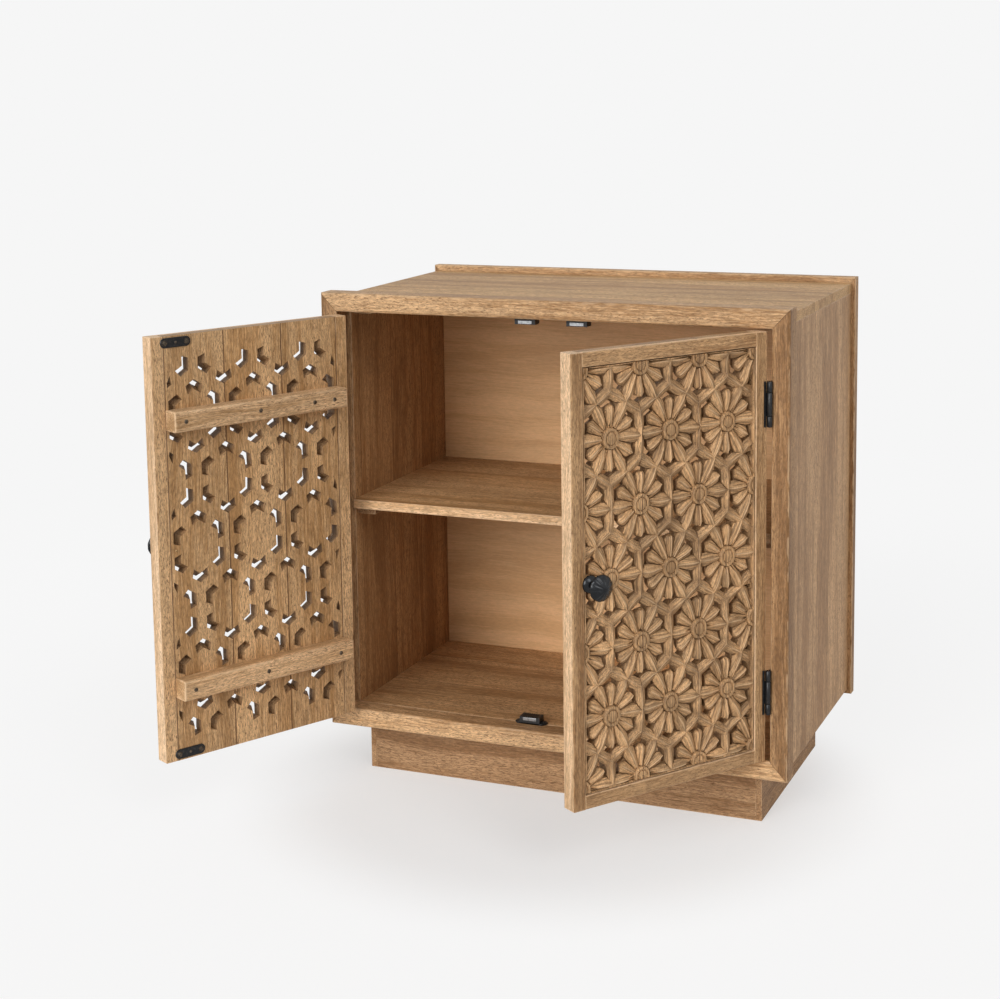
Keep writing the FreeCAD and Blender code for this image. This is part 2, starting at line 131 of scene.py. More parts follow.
def shaded(tree, colour, shade):
    """Make a colour darker or lighter by a factor."""
    grey = node(tree, "CombineXYZ", {0: shade, 1: shade, 2: shade}).outputs[0]
    return node(tree, "VectorMath", {0: colour, 1: grey}, operation="MULTIPLY").outputs[0]


def grain_noise(tree, place, scales, detail, roughness):
    """Noise drawn out along the board, by one scale for each of its three directions."""
    parts = [reckon(tree, "MULTIPLY", part, scale) for part, scale in zip(place, scales)]
    place = node(tree, "CombineXYZ", enumerate(parts)).outputs[0]
    feeds = {"Vector": place, "Scale": 1.0, "Detail": detail, "Roughness": roughness}
    return node(tree, "TexNoise", feeds).outputs["Fac"]


def waxed_wood_group():
    tree = bpy.data.node_groups.new("waxed_wood", "ShaderNodeTree")
    sockets = (("Place", "Vector"), ("Half Size", "Vector"), ("Seed", "Float"),
               ("Light", "Color"), ("Dark", "Color"), ("Pore", "Color"), ("Worn", "Color"),
               ("Plank Width", "Float"), ("Seam Strength", "Float"), ("Pore Strength", "Float"),
               ("Wear Width", "Float"), ("Mottle Strength", "Float"))
    for name, kind in sockets:
        tree.interface.new_socket(name, in_out="INPUT", socket_type="NodeSocket" + kind)
    for name, kind in (("Color", "Color"), ("Roughness", "Float"), ("Height", "Float")):
        tree.interface.new_socket(name, in_out="OUTPUT", socket_type="NodeSocket" + kind)
    given = tree.nodes.new("NodeGroupInput").outputs
    result = tree.nodes.new("NodeGroupOutput").inputs
    parts = node(tree, "SeparateXYZ", {0: given["Place"]}).outputs

    # Planks side by side, each with its own piece of the grain and its own tone
    turn = reckon(tree, "ADD", reckon(tree, "DIVIDE", parts[1], given["Plank Width"]), 0.5)
    plank = reckon(tree, "FLOOR", turn)
    inside = reckon(tree, "FRACT", turn)
    rim = reckon(tree, "MINIMUM", inside, reckon(tree, "SUBTRACT", 1.0, inside))
    rim = reckon(tree, "MULTIPLY", rim, given["Plank Width"])
    seam = spread(tree, rim, *edge_of_seam, 1, 0)
    name = reckon(tree, "MULTIPLY_ADD", plank, plank_stride, given["Seed"])
    tone = node(tree, "TexWhiteNoise", {"W": name}, noise_dimensions="1D").outputs["Value"]

    # The grain wanders slowly across the board
    along = reckon(tree, "MULTIPLY_ADD", name, grain_shift, parts[0])
    wander = grain_noise(tree, (along, parts[1], parts[2]), *slow_wander)
    across = reckon(tree, "MULTIPLY_ADD", reckon(tree, "SUBTRACT", wander, 0.5), wander_reach,
                    parts[1])
    place = (along, across, reckon(tree, "MULTIPLY_ADD", name, depth_shift, parts[2]))
    drawn = {label: grain_noise(tree, place, *grain) for label, grain in grains.items()}

    # Light and dark figure, cloudy and mottled, with pores that crowd together in the bands
    figure = reckon(tree, "MULTIPLY", drawn["streaks"], 0.5)
    figure = reckon(tree, "MULTIPLY_ADD", drawn["bands"], 0.5, figure)
    figure = spread(tree, figure, *figure_levels)
    colour = blend_colours(tree, figure, given["Dark"], given["Light"])
    shade = reckon(tree, "MULTIPLY_ADD", tone, plank_tones[1], plank_tones[0])
    shade = reckon(tree, "MULTIPLY", shade, spread(tree, drawn["clouds"], *cloud_levels))
    mottle = reckon(tree, "MULTIPLY_ADD", spread(tree, drawn["mottle"], *mottle_levels),
                    given["Mottle Strength"], 1.0)
    colour = shaded(tree, colour, reckon(tree, "MULTIPLY", shade, mottle))
    crowded = spread(tree, drawn["bands"], *crowding_levels)
    pore = spread(tree, drawn["pores"], reckon(tree, "SUBTRACT", crowded, pore_softness), crowded)
    fleck = spread(tree, drawn["flecks"], *fleck_levels)
    mark = reckon(tree, "MULTIPLY", reckon(tree, "MAXIMUM", pore, fleck), given["Pore Strength"])
    mark = reckon(tree, "MAXIMUM", mark, reckon(tree, "MULTIPLY", seam, given["Seam Strength"]))
    colour = blend_colours(tree, mark, colour, given["Pore"])

    # Rubbed edges: the middle one of the three distances to the board's faces is small there
    reach = node(tree, "VectorMath", {0: given["Place"]}, operation="ABSOLUTE").outputs[0]
    reach = node(tree, "VectorMath", {0: given["Half Size"], 1: reach},
                 operation="SUBTRACT").outputs[0]
    reach = node(tree, "SeparateXYZ", {0: reach}).outputs
    low = reckon(tree, "MINIMUM", reach[0], reach[1])
    high = reckon(tree, "MAXIMUM", reach[0], reach[1])
    edge = reckon(tree, "MAXIMUM", low, reckon(tree, "MINIMUM", high, reach[2]))
    limit = reckon(tree, "MULTIPLY", given["Wear Width"],
                   spread(tree, drawn["breaks"], *break_levels))
    rubbed = spread(tree, reckon(tree, "DIVIDE", edge, limit), 0, 1, rubbed_share, 0)
    colour = blend_colours(tree, rubbed, colour, given["Worn"])

    tree.links.new(colour, result["Color"])
    rough = reckon(tree, "MULTIPLY_ADD", drawn["streaks"], streak_roughness, wax_roughness)
    rough = reckon(tree, "MULTIPLY_ADD", mark, pore_roughness, rough)
    tree.links.new(rough, result["Roughness"])
    relief = reckon(tree, "MULTIPLY_ADD", mark, pore_relief, drawn["streaks"])
    relief = reckon(tree, "MULTIPLY_ADD", seam, seam_relief, relief)
    tree.links.new(relief, result["Height"])
    return tree


waxed_wood = waxed_wood_group()


def board_attribute(tree, name):
    return node(tree, "Attribute", attribute_name=name).outputs


def wood(name, light=wood_light, dark=wood_dark, pore=wood_pore, worn=wood_worn,
         plank_width=single_board, seam_strength=0.55, pore_strength=0.75, wear_width=1.2 * mm,
         mottle_strength=1.0, bump=0.35, coat=0.03):
    """A wood finish with its own colours. Each board tells it where it lies by attributes."""
    made = bpy.data.materials.new(name)
    made.use_nodes = True
    tree = made.node_tree
    shader = tree.nodes["Principled BSDF"]
    grain = tree.nodes.new("ShaderNodeGroup")
    grain.node_tree = waxed_wood
    tree.links.new(board_attribute(tree, "board_place")["Vector"], grain.inputs["Place"])
    tree.links.new(board_attribute(tree, "board_half")["Vector"], grain.inputs["Half Size"])
    tree.links.new(board_attribute(tree, "board_seed")["Fac"], grain.inputs["Seed"])
    for label, value in (("Light", tint(light)), ("Dark", tint(dark)), ("Pore", tint(pore)),
                         ("Worn", tint(worn)), ("Plank Width", plank_width),
                         ("Seam Strength", seam_strength), ("Pore Strength", pore_strength),
                         ("Wear Width", wear_width), ("Mottle Strength", mottle_strength)):
        grain.inputs[label].default_value = value
    tree.links.new(grain.outputs["Color"], shader.inputs["Base Color"])
    tree.links.new(grain.outputs["Roughness"], shader.inputs["Roughness"])
    bumped = node(tree, "Bump", {"Height": grain.outputs["Height"], "Strength": bump,
                                 "Distance": 0.4 * mm}).outputs[0]
    tree.links.new(bumped, shader.inputs["Normal"])
    shader.inputs["Specular IOR Level"].default_value = 0.3
    shader.inputs["Coat Weight"].default_value = coat
    shader.inputs["Coat Roughness"].default_value = 0.35
    return made


def write_attribute(mesh, name, kind, values):
    """Keep a number or a vector at each point of a mesh."""
    layer = mesh.attributes.new(name, kind, "POINT")
    field = "value" if kind == "FLOAT" else "vector"
    layer.data.foreach_set(field, np.asarray(values, np.float32).ravel())


def write_board(mesh, corners, low, high, seed):
    """Tell the wood where each point lies along, across and deep in its board, and its size."""
    half = (high - low) / 2
    order = np.argsort(-half)
    write_attribute(mesh, "board_place", "FLOAT_VECTOR", (corners - (low + high) / 2)[:, order])
    write_attribute(mesh, "board_half", "FLOAT_VECTOR", np.tile(half[order], (len(corners), 1)))
    write_attribute(mesh, "board_seed", "FLOAT", np.full(len(corners), seed))


def points_of(mesh):
    flat = np.zeros(len(mesh.vertices) * 3, np.float32)
    mesh.vertices.foreach_get("co", flat)
    return flat.reshape(-1, 3).astype(float)


def show(name, mesh, finish, slot, body, *stands_for):
    """Put a finished mesh in the scene, on the body that carries it, in place of its nodes."""
    piece = bpy.data.objects.new(name, mesh)
    bpy.context.scene.collection.objects.link(piece)
    mesh.materials.clear()
    mesh.materials.append(finish)
    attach(piece, body)
    if stands_for:
        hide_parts(*stands_for)
    return piece


sharp_edge = math.radians(30)
weld = 0.002 * mm


def soften(mesh, size, mitre_gap=0.0):
    """Join a mesh's flat faces again and round its edges as sanding does. Where two boards meet
    in a mitre the edges stay sharp, and the joint opens by a hair."""
    shape = bmesh.new()
    shape.from_mesh(mesh)
    bmesh.ops.remove_doubles(shape, verts=shape.verts, dist=weld)
    bmesh.ops.dissolve_limit(shape, angle_limit=math.radians(0.5), verts=shape.verts,
                             edges=shape.edges)
    slopes = [f for f in shape.faces
              if mitre_gap and min(abs(f.normal.x), abs(f.normal.z)) > 0.5]
    edges = [e for e in shape.edges
             if len(e.link_faces) == 2 and e.calc_face_angle(0) > sharp_edge
             and not any(f in slopes for f in e.link_faces)]
    places = points_of(mesh)
    lengthwise = int(np.argmax(places.max(axis=0) - places.min(axis=0)))
    for face in slopes:
        for corner in face.verts:
            corner.co[lengthwise] -= face.normal[lengthwise] * mitre_gap
    rounded = bmesh.ops.bevel(shape, geom=edges, offset=size, segments=2, profile=0.6,
                              affect="EDGES", clamp_overlap=True)
    for face in shape.faces:
        face.smooth = False
    for face in rounded["faces"]:
        face.smooth = True
    shape.to_mesh(mesh)
    shape.free()


seeds = {name: 1.7 + 2.31 * count for count, name in enumerate(sorted(frame["nodes"]))}


def finish_some(piece, finish, chosen):
    """Give a second finish to the faces that a test picks by the way they look."""
    piece.data.materials.append(finish)
    for face in piece.data.polygons:
        if chosen(face.normal):
            face.material_index = len(piece.data.materials) - 1


def finish_board(name, finish, slot, body="case", sanding=0.6 * mm, swing=Matrix(),
                 mitre_gap=0.0):
    """A CAD board with sanded edges. A door's board is measured where it lies when shut."""
    mesh = frame["nodes"][name].data.copy()
    mesh.transform(swing.inverted())
    corners = points_of(mesh)
    low = corners.min(axis=0)
    high = corners.max(axis=0)
    soften(mesh, sanding, mitre_gap=mitre_gap)
    write_board(mesh, points_of(mesh), low, high, seeds[name])
    mesh.transform(swing)
    return show("finished_" + name, mesh, finish, slot, body, name)


plinth_wood = wood("plinth_wood", light=(178, 140, 101), dark=(133, 96, 61),
                   worn=(199, 165, 129), wear_width=1.0 * mm)
for side in ("front", "back", "left", "right"):
    finish_board("plinth_" + side, plinth_wood, "plinth_wood")

# Case. Floor, sides and top are glued up from planks with the grain along them, the sides'
# outer faces a little paler and greyer than their inner faces. The back is a thin smooth board in
# a groove all round.

case_wood = wood("case_wood", light=(207, 167, 117), dark=(160, 120, 75), plank_width=0.094)
inner_wood = wood("inner_wood", light=(196, 153, 107), dark=(150, 107, 66),
                  worn=(200, 160, 118), plank_width=0.094)
side_wood = wood("side_wood", light=(207, 166, 122), dark=(158, 119, 80),
                 worn=(201, 170, 138), plank_width=0.081, pore_strength=0.65)
finish_board("top_board", case_wood, "case_wood")
floor_wood = wood("floor_wood", light=(216, 174, 126), dark=(168, 126, 82), plank_width=0.11)
finish_board("floor_board", floor_wood, "case_wood")
for name, inward in (("left_side_board", 1), ("right_side_board", -1)):
    board = finish_board(name, side_wood, "case_wood")
    finish_some(board, inner_wood, lambda normal: normal.x * inward > 0.9)
back_wood = wood("back_panel_wood", light=(217, 174, 127), dark=(201, 157, 110),
                 pore=(160, 118, 80), worn=(206, 164, 122), pore_strength=0.08,
                 mottle_strength=0.25, bump=0.1, coat=0.0)
finish_board("back_board", back_wood, "back_panel_wood", sanding=0.3 * mm)

# Raised frames. Rails and stiles round the front and the back of the case, mitred at the
# corners, where a hair-thin joint shows. Their outer edges are chamfered and rubbed pale.

frame_wood = wood("frame_wood", light=(212, 172, 127), dark=(158, 118, 76), wear_width=1.8 * mm)
stile_wood = wood("stile_wood", light=(177, 137, 95), dark=(130, 93, 56), wear_width=1.8 * mm)
for prefix in ("front", "back"):
    for member in ("top_rail", "bottom_rail", "left_stile", "right_stile"):
        tone = stile_wood if "stile" in member else frame_wood
        finish_board(prefix + "_" + member, tone, "frame_wood", sanding=1.2 * mm,
                     mitre_gap=0.35 * mm)

# Shelf and cleats. One glued shelf rests on two cleats, and two more hold the top, each
# screwed on from below with two dark countersunk screws.

shelf_wood = wood("shelf_wood", light=(214, 172, 124), dark=(168, 126, 80), plank_width=0.11)
# Painted light: a lighter copy of the shelf's wood on its front edge
painted_light_shelf_edge = wood("painted_light_shelf_edge", light=(230, 192, 150), dark=(192, 153, 110))
board = finish_board("shelf", shelf_wood, "shelf_wood")
finish_some(board, painted_light_shelf_edge, lambda normal: normal.y < -0.9)
cleat_wood = wood("cleat_wood", light=(186, 147, 106), dark=(142, 105, 70))
for name in ("left_shelf_cleat", "right_shelf_cleat", "left_top_cleat", "right_top_cleat"):
    finish_board(name, cleat_wood, "case_wood", sanding=0.8 * mm)


grit = 500.0
grit_roughness = 0.16
patch_levels = (0.45, 0.75)


def metal(name, shade, worn_shade, roughness, metallic, patch_scale, bump=0.2):
    """Painted or bare metal: patches of wear, a spread of roughness, and a fine grit."""
    made = bpy.data.materials.new(name)
    made.use_nodes = True
    tree = made.node_tree
    shader = tree.nodes["Principled BSDF"]
    place = node(tree, "TexCoord").outputs["Object"]
    patches = node(tree, "TexNoise", {"Vector": place, "Scale": patch_scale, "Detail": 4.0,
                                      "Roughness": 0.6}).outputs["Fac"]
    fine = node(tree, "TexNoise", {"Vector": place, "Scale": grit, "Detail": 2.0}).outputs["Fac"]
    share = spread(tree, patches, *patch_levels)
    colour = blend_colours(tree, share, tint(shade), tint(worn_shade))
    tree.links.new(colour, shader.inputs["Base Color"])
    rough = reckon(tree, "MULTIPLY_ADD", fine, grit_roughness, roughness - grit_roughness / 2)
    tree.links.new(rough, shader.inputs["Roughness"])
    bumped = node(tree, "Bump", {"Height": fine, "Strength": bump,
                                 "Distance": 0.1 * mm}).outputs[0]
    tree.links.new(bumped, shader.inputs["Normal"])
    shader.inputs["Metallic"].default_value = metallic
    return made


dark_screw = metal("dark_screw", (96, 86, 74), (140, 126, 106), 0.4, 0.8, 300.0)


def skin(shape, loops):
    """Close a shape: faces between its loops of points, and one face across each end."""
    for near, far in zip(loops, loops[1:]):
        for k in range(len(near)):
            follow = (k + 1) % len(near)
            shape.faces.new((near[k], near[follow], far[follow], far[k]))
    shape.faces.new(list(reversed(loops[0])))
    shape.faces.new(loops[-1])
    return shape


def lathe(rings, sides, flute=None):
    """A turned piece about +Z from rings of a radius and a height. A flute may vary the radius."""
    shape = bmesh.new()
    loops = []
    for count, (radius, height) in enumerate(rings):
        loop = []
        for k in range(sides):
            angle = math.tau * k / sides
            reach = radius * (flute(count, angle) if flute else 1.0)
            loop.append(shape.verts.new((reach * math.cos(angle), reach * math.sin(angle),
                                         height)))
        loops.append(loop)
    skin(shape, loops)
    for face in shape.faces:
        face.smooth = len(face.verts) == 4
    return shape


head_ring_shares = ((1.0, 0.0), (1.0, 0.45), (0.86, 0.8), (0.55, 1.0))
head_slot_share = 0.14
head_slot_depth_share = 0.45


def slotted_head(radius, height):
    """A low domed screw head with a slot cut across it. Its axis is +Z."""
    shape = lathe([(wide * radius, high * height) for wide, high in head_ring_shares], 24)
    half = head_slot_share * radius
    depth = head_slot_depth_share * height
    for side in (-half, half):
        parts = shape.verts[:] + shape.edges[:] + shape.faces[:]
        bmesh.ops.bisect_plane(shape, geom=parts, plane_co=(side, 0, 0), plane_no=(1, 0, 0))
    for corner in shape.verts:
        if abs(corner.co.x) < 0.6 * half and corner.co.z > 0.5 * height:
            corner.co.z -= depth
    top = [f for f in shape.faces
           if abs(f.calc_center_median().x) < 0.5 * half and f.normal.z > 0.5]
    sunk = bmesh.ops.extrude_face_region(shape, geom=top)
    bmesh.ops.translate(shape, vec=(0, 0, -depth),
                        verts=[v for v in sunk["geom"] if isinstance(v, bmesh.types.BMVert)])
    bmesh.ops.delete(shape, geom=top, context="FACES_ONLY")
    return shape


def solids_of(name, swing=Matrix()):
    """Centre and half size of each separate solid of a node, where it lies when a door is shut."""
    shape = bmesh.new()
    shape.from_mesh(frame["nodes"][name].data)
    shape.transform(swing.inverted())
    bmesh.ops.remove_doubles(shape, verts=shape.verts, dist=weld)
    left = set(shape.verts)
    found = []
    while left:
        group = []
        stack = [left.pop()]
        while stack:
            corner = stack.pop()
            group.append(corner.co.copy())
            for edge in corner.link_edges:
                other = edge.other_vert(corner)
                if other in left:
                    left.remove(other)
                    stack.append(other)
        low = Vector([min(c[i] for c in group) for i in range(3)])
        high = Vector([max(c[i] for c in group) for i in range(3)])
        found.append(((low + high) / 2, (high - low) / 2))
    shape.free()
    return sorted(found, key=lambda solid: tuple(round(part, 4) for part in solid[0]))


def merge(shapes):
    """One mesh from several shapes, each with the matrix that puts it in its place."""
    whole = bmesh.new()
    for shape, place in shapes:
        part = bpy.data.meshes.new("part")
        shape.to_mesh(part)
        part.transform(place)
        if place.determinant() < 0:
            part.flip_normals()
        whole.from_mesh(part)
        bpy.data.meshes.remove(part)
    mesh = bpy.data.meshes.new("merged")
    whole.to_mesh(mesh)
    whole.free()
    return mesh


def facing(direction):
    """Turn +Z to a direction."""
    return Vector(direction).to_track_quat("Z", "Y").to_matrix().to_4x4()


def screw_group(name, node_name, finish, slot, body, direction, swing=Matrix()):
    """Slotted heads, each turned as it was left, where the node has its plain ones."""
    along = [abs(part) for part in direction].index(1.0)
    heads = []
    for count, (centre, half) in enumerate(solids_of(node_name, swing)):
        radius = half[(along + 1) % 3]
        seat = centre - Vector(direction) * half[along]
        place = Matrix.Translation(seat) @ facing(direction) @ Matrix.Rotation(2.1 * count, 4, "Z")
        heads.append((slotted_head(radius, 2 * half[along]), swing @ place))
    show(name, merge(heads), finish, slot, body, node_name)


screw_group("slotted_cleat_screws", "cleat_screws", dark_screw, "dark_screw", "case", (0, 0, -1))

# Door frames. Each door has two full-height stiles, with a rail set into the carved board at
# each end. The outer edges are eased and rubbed pale, and the faces of the edges have a lighter
# copy of the door's wood, a painted light. The doors stand open on their hinges.


def door_swing(side):
    """The turn about the hinge pins that takes a door from shut to where it stands."""
    for joint in frame["joints"]:
        if joint["child"] == side + "_door":
            pin = Vector(joint["pos_m"])
            turn = Matrix.Rotation(-math.radians(joint["range_deg"][0]), 4,
                                   Vector(joint["axis"]))
            return Matrix.Translation(pin) @ turn @ Matrix.Translation(-pin)


sides = ("left", "right")
swings = {side: door_swing(side) for side in sides}
door_wood = wood("door_wood", light=(182, 144, 102), dark=(138, 101, 64), worn=(196, 159, 119),
                 pore_strength=0.6, wear_width=1.2 * mm)
# Painted light: a lighter copy of the door's wood on the faces of the edges
painted_light_edge_wood = wood("painted_light_edge_wood", light=(236, 200, 160), dark=(201, 163, 122), worn=(236, 203, 166),
                 pore_strength=0.5, wear_width=1.2 * mm)
inside_wood = wood("inside_wood", light=(218, 178, 132), dark=(172, 132, 88),
                   worn=(222, 186, 144), wear_width=1.2 * mm)
for side in sides:
    for member in ("free_stile", "hinge_stile", "top_rail", "bottom_rail"):
        board = finish_board(side + "_door_" + member, door_wood, "door_wood", side + "_door",
                             swing=swings[side])
        out = swings[side].to_3x3() @ Vector((0, 1, 0))
        finish_some(board, painted_light_edge_wood, lambda normal: abs(normal.dot(out)) < 0.5)
        finish_some(board, inside_wood, lambda normal: normal.dot(out) > 0.9)

# Carved boards. Each is glued up from three planks. Rosettes in staggered rows are carved into
# its face, with ridged bars between them and bent slots cut right through. The carving is drawn
# in millimetres, as a regular lattice that is then stretched a little along the height.


def closed_box(name, side):
    """Lowest and highest corner of a door's node when its door is shut, seen as on the right."""
    corners = points_of(frame["nodes"][side + "_door_" + name].data)
    turned = np.array([swings[side].inverted() @ Vector(corner) for corner in corners])
    if side == "left":
        turned[:, 0] *= -1
    return Vector(turned.min(axis=0)), Vector(turned.max(axis=0))


board_low, board_high = closed_box("carved_board", "right")
rail_low, rail_high = closed_box("top_rail", "right")
free_low = closed_box("free_stile", "right")[0]
rail_height = rail_high.z - rail_low.z
field_low = Vector((board_low.x, free_low.y, board_low.z + rail_height)) / mm
field_high = Vector((board_high.x, board_high.y, board_high.z - rail_height)) / mm
field_middle = (field_low + field_high) / 2

lattice_columns = 3
lattice_rows = 6
column_overrun = 1.7
row_margin = 4.5
ground_depth = 14.5
groove_level = 6.0
pitch = (field_high.x - field_low.x + 2 * column_overrun) / lattice_columns
apothem = pitch / 2
regular_row = pitch * math.sin(math.radians(60))
stretch = (field_high.z - field_low.z - 2 * row_margin) / lattice_rows / regular_row
bar_foot = 6.5
slot_width = 4.4
slot_flare = 5.0
slot_arm = 13.0
hub_radius = 10.7
groove = 0.9
wall_lean = 0.12
# How far below its shoulder a point must sink to take the full painted shade, in millimetres
painted_shade_full_depth = 2.2

# Crest height, shoulder height and half width of each carved ridge, along its length
long_petal = ((11.5, 11.0, 9.0, 2.7), (22.0, 12.9, 9.0, 5.4), (30.5, 14.0, 8.8, 7.4),
              (35.0, 13.8, 9.2, 7.0), (41.75, 12.8, 12.6, 0.3))
short_petal = ((11.5, 10.9, 8.9, 2.6), (20.0, 12.4, 8.7, 4.7), (27.0, 13.5, 8.6, 6.4),
               (30.0, 13.6, 8.6, 6.5), (33.6, 12.8, 8.6, 3.4))
bar = ((0.0, 12.8, 12.6, 0.3), (6.0, 12.2, 9.0, 4.8), (10.0, 11.8, 7.6, 6.4),
       (20.0, 11.0, 7.0, 6.4), (24.1, 11.0, 6.9, 6.4))
# Towards the nodes where three bars meet: more painted shade, a darker tone, and less painted
# highlight on the crest
node_painted_shade = 0.4
node_tone = 0.4
bar_wear_and_highlight_fade = 0.1

# The bead round the field: its insets from the border, its heights, the painted shade in the
# grooves beside it, and its painted highlight
bead_insets = (0.0, 1.2, 1.5, 2.9, 3.3, 4.3)
bead_levels = (6.5, 6.5, 13.1, 13.1, 12.6, 6.0)
bead_painted_shades = (1, 1, 0, 0, 0.2, 1)
bead_wear_and_highlight = 0.85
# The hub: its radii, its heights, the painted shade in its grooves, and the ring of its crest that
# takes wear and a painted highlight
hub_radii = (0.0, 6.0, 6.4, 7.3, 7.8, 10.0, hub_radius, hub_radius + groove)
hub_levels = (12.5, 12.0, 10.9, 10.9, 12.3, 12.8, 11.8, 6.5)
hub_painted_shades = (0, 0, 0.5, 0.5, 0, 0, 0.3, 1)
hub_crest_radius = 9.75
hub_crest_width = 1.6

# How much the petals and bars of a hand-cut pattern differ in height and in lean
petal_lifts = (-0.55, 0.35)
petal_lean = 0.02
bar_lift_range = (-1.6, 0.8)
cell_lots = (12, 12, 12)
bar_lots = (50, 50)
first_cell = 5
first_bar = 20
bar_fade = 5
hub_lift_share = 0.5
flow_turn = 9.0
half_x = (field_high.x - field_low.x) / 2
half_z = (field_high.z - field_low.z) / 2 / stretch


def margin_at(x, z):
    """How far inside the field's border each point lies, in real millimetres."""
    return np.minimum(half_x - np.abs(x), (half_z - np.abs(z)) * stretch)


def ridge(profile, along, aside, lift, lean):
    """Height of a ridge with a sharp crest, flat flanks and steep sides, how near its crest each
    point is (wear and painted highlight), and how far it has sunk below the shoulder (painted
    shade)."""
    knots = [knot[0] for knot in profile]
    crest, shoulder, half = (np.interp(along, knots, [knot[k] for knot in profile])
                             for k in (1, 2, 3))
    aside = np.abs(aside + lean * (along - knots[0]))
    flank = crest + lift - (crest - shoulder) * aside / half
    side = shoulder + lift - (aside - half) / wall_lean
    height = np.where(aside < half, flank, side)
    outside = np.maximum(along - knots[-1], knots[0] - along)
    height = np.where(outside > 0, height - outside / wall_lean, height)
    sunk = np.clip((shoulder + lift - height) / painted_shade_full_depth, 0, 1)
    return height, np.clip(1 - aside / half, 0, 1), sunk


def nearest_rosette(x, z):
    """Centre and row of the rosette that each point belongs to."""
    best = np.full(len(x), 1e9)
    centre_x = np.zeros(len(x))
    centre_z = np.zeros(len(x))
    row_of = np.zeros(len(x), int)
    for way in (0, 1):
        row = np.floor(z / regular_row).astype(int) + way
        shifted = row % 2 == 1
        near = np.where(shifted, (np.floor(x / pitch) + 0.5) * pitch,
                        np.round(x / pitch) * pitch)
        far = np.hypot(x - near, z - row * regular_row)
        closer = far < best
        best = np.where(closer, far, best)
        centre_x = np.where(closer, near, centre_x)
        centre_z = np.where(closer, row * regular_row, centre_z)
        row_of = np.where(closer, row, row_of)
    return centre_x, centre_z, row_of


def carving_at(x, z, seed):
    """The carving at points of the unstretched lattice: its height above the ground, how deep it
    is sunk, which sets the painted shade, how near a crest, which sets the wear and painted
    highlight, the tone of its wood, and the way that its tool marks run."""
    lots = np.random.default_rng(seed)
    lifts = lots.uniform(*petal_lifts, cell_lots)
    leans = lots.uniform(-petal_lean, petal_lean, cell_lots)
    tones = lots.uniform(0.0, 1.0, cell_lots)
    bar_lifts = lots.uniform(*bar_lift_range, bar_lots)
    bar_tones = lots.uniform(0.0, 1.0, bar_lots)
    centre_x, centre_z, row_of = nearest_rosette(x, z)
    column = np.round(centre_x / apothem).astype(int) + first_cell
    line = row_of + first_cell
    across = x - centre_x
    up = z - centre_z
    radius = np.hypot(across, up)
    angle = np.degrees(np.arctan2(up, across)) % 360

    height = np.full(len(x), groove_level)
    # depth is the painted shade: full on the ground, until a ridge is laid over it
    depth = np.ones(len(x))
    crest = np.zeros(len(x))
    tone = np.full(len(x), 0.5)
    flow = np.stack([up, across, np.zeros(len(x))], axis=1)

    def lay(layer, nearness, sunk, shade, along, aside):
        nonlocal height, depth, crest, tone
        above = layer > height
        # depth carries the painted shade, and crest the wear and painted highlight, of what lies
        # on top
        depth = np.where(above, sunk, depth)
        crest = np.where(above, nearness, crest)
        tone = np.where(above, shade, tone)
        across_marks = flow_turn * shade * np.ones(len(x))
        flow[above] = np.stack([along, aside, across_marks], axis=1)[above]
        height = np.maximum(height, layer)

    for profile, offset in ((long_petal, 0), (short_petal, 30)):
        sixth = np.round((angle - offset) / 60).astype(int)
        turned = np.radians(angle - offset - 60 * sixth)
        which = (2 * (sixth % 6) + offset // 30) % 12
        along = radius * np.cos(turned)
        aside = radius * np.sin(turned)
        layer, nearness, sunk = ridge(profile, along, aside, lifts[line, column, which],
                                      leans[line, column, which])
        lay(layer, nearness, sunk, tones[line, column, which], along, aside)
    sixth = np.round(angle / 60).astype(int)
    turned = np.radians(angle - 60 * sixth)
    along = radius * np.sin(turned)
    aside = apothem - radius * np.cos(turned)
    toward = np.radians(60 * sixth)
    bar_column = np.round((centre_x + apothem * np.cos(toward)) * 2 / apothem).astype(int)
    bar_line = np.round((centre_z + apothem * np.sin(toward)) * 2 / regular_row).astype(int)
    bar_column += first_bar
    bar_line += first_bar
    free = np.clip(np.abs(along) / bar[1][0], 0, 1)
    free *= np.clip((bar[-1][0] - np.abs(along)) / bar_fade, 0, 1)
    layer, nearness, sunk = ridge(bar, np.abs(along), aside,
                                  bar_lifts[bar_line, bar_column] * free, 0)
    away = np.clip((np.abs(along) - bar[1][0]) / (bar[-2][0] - bar[1][0]), 0, 1)
    shade = bar_tones[bar_line, bar_column] * (1 - away * (1 - node_tone))
    lay(layer, nearness * (1 - bar_wear_and_highlight_fade * away), np.maximum(sunk, node_painted_shade * away), shade,
        along, aside)

    margin = margin_at(x, z)
    bead = np.interp(margin, bead_insets, bead_levels)
    bead_shade = np.interp(margin, bead_insets, bead_painted_shades)
    on_bead = (margin > bead_insets[2]) & (margin < bead_insets[3])
    lay(bead, np.where(on_bead, bead_wear_and_highlight, 0), bead_shade, 0.5, up, across)
    height = np.where(margin < bead_insets[2], bead, height)
    depth = np.where(margin < bead_insets[2], bead_shade, depth)

    inside = (radius < hub_radius + groove) & (margin > bead_insets[2])
    hub = np.interp(radius, hub_radii, hub_levels)
    hub_shade = np.interp(radius, hub_radii, hub_painted_shades)
    height = np.where(inside, hub + lifts[line, column, 0] * hub_lift_share, height)
    depth = np.where(inside, hub_shade, depth)
    # Wear and a painted highlight along the ring of the hub's crest
    hub_wear_and_highlight = np.clip(1 - np.abs(radius - hub_crest_radius) / hub_crest_width, 0, 1)
    crest = np.where(inside, hub_wear_and_highlight, crest)
    tone = np.where(inside, tones[line, column, 3], tone)
    return height, depth, crest, tone, flow


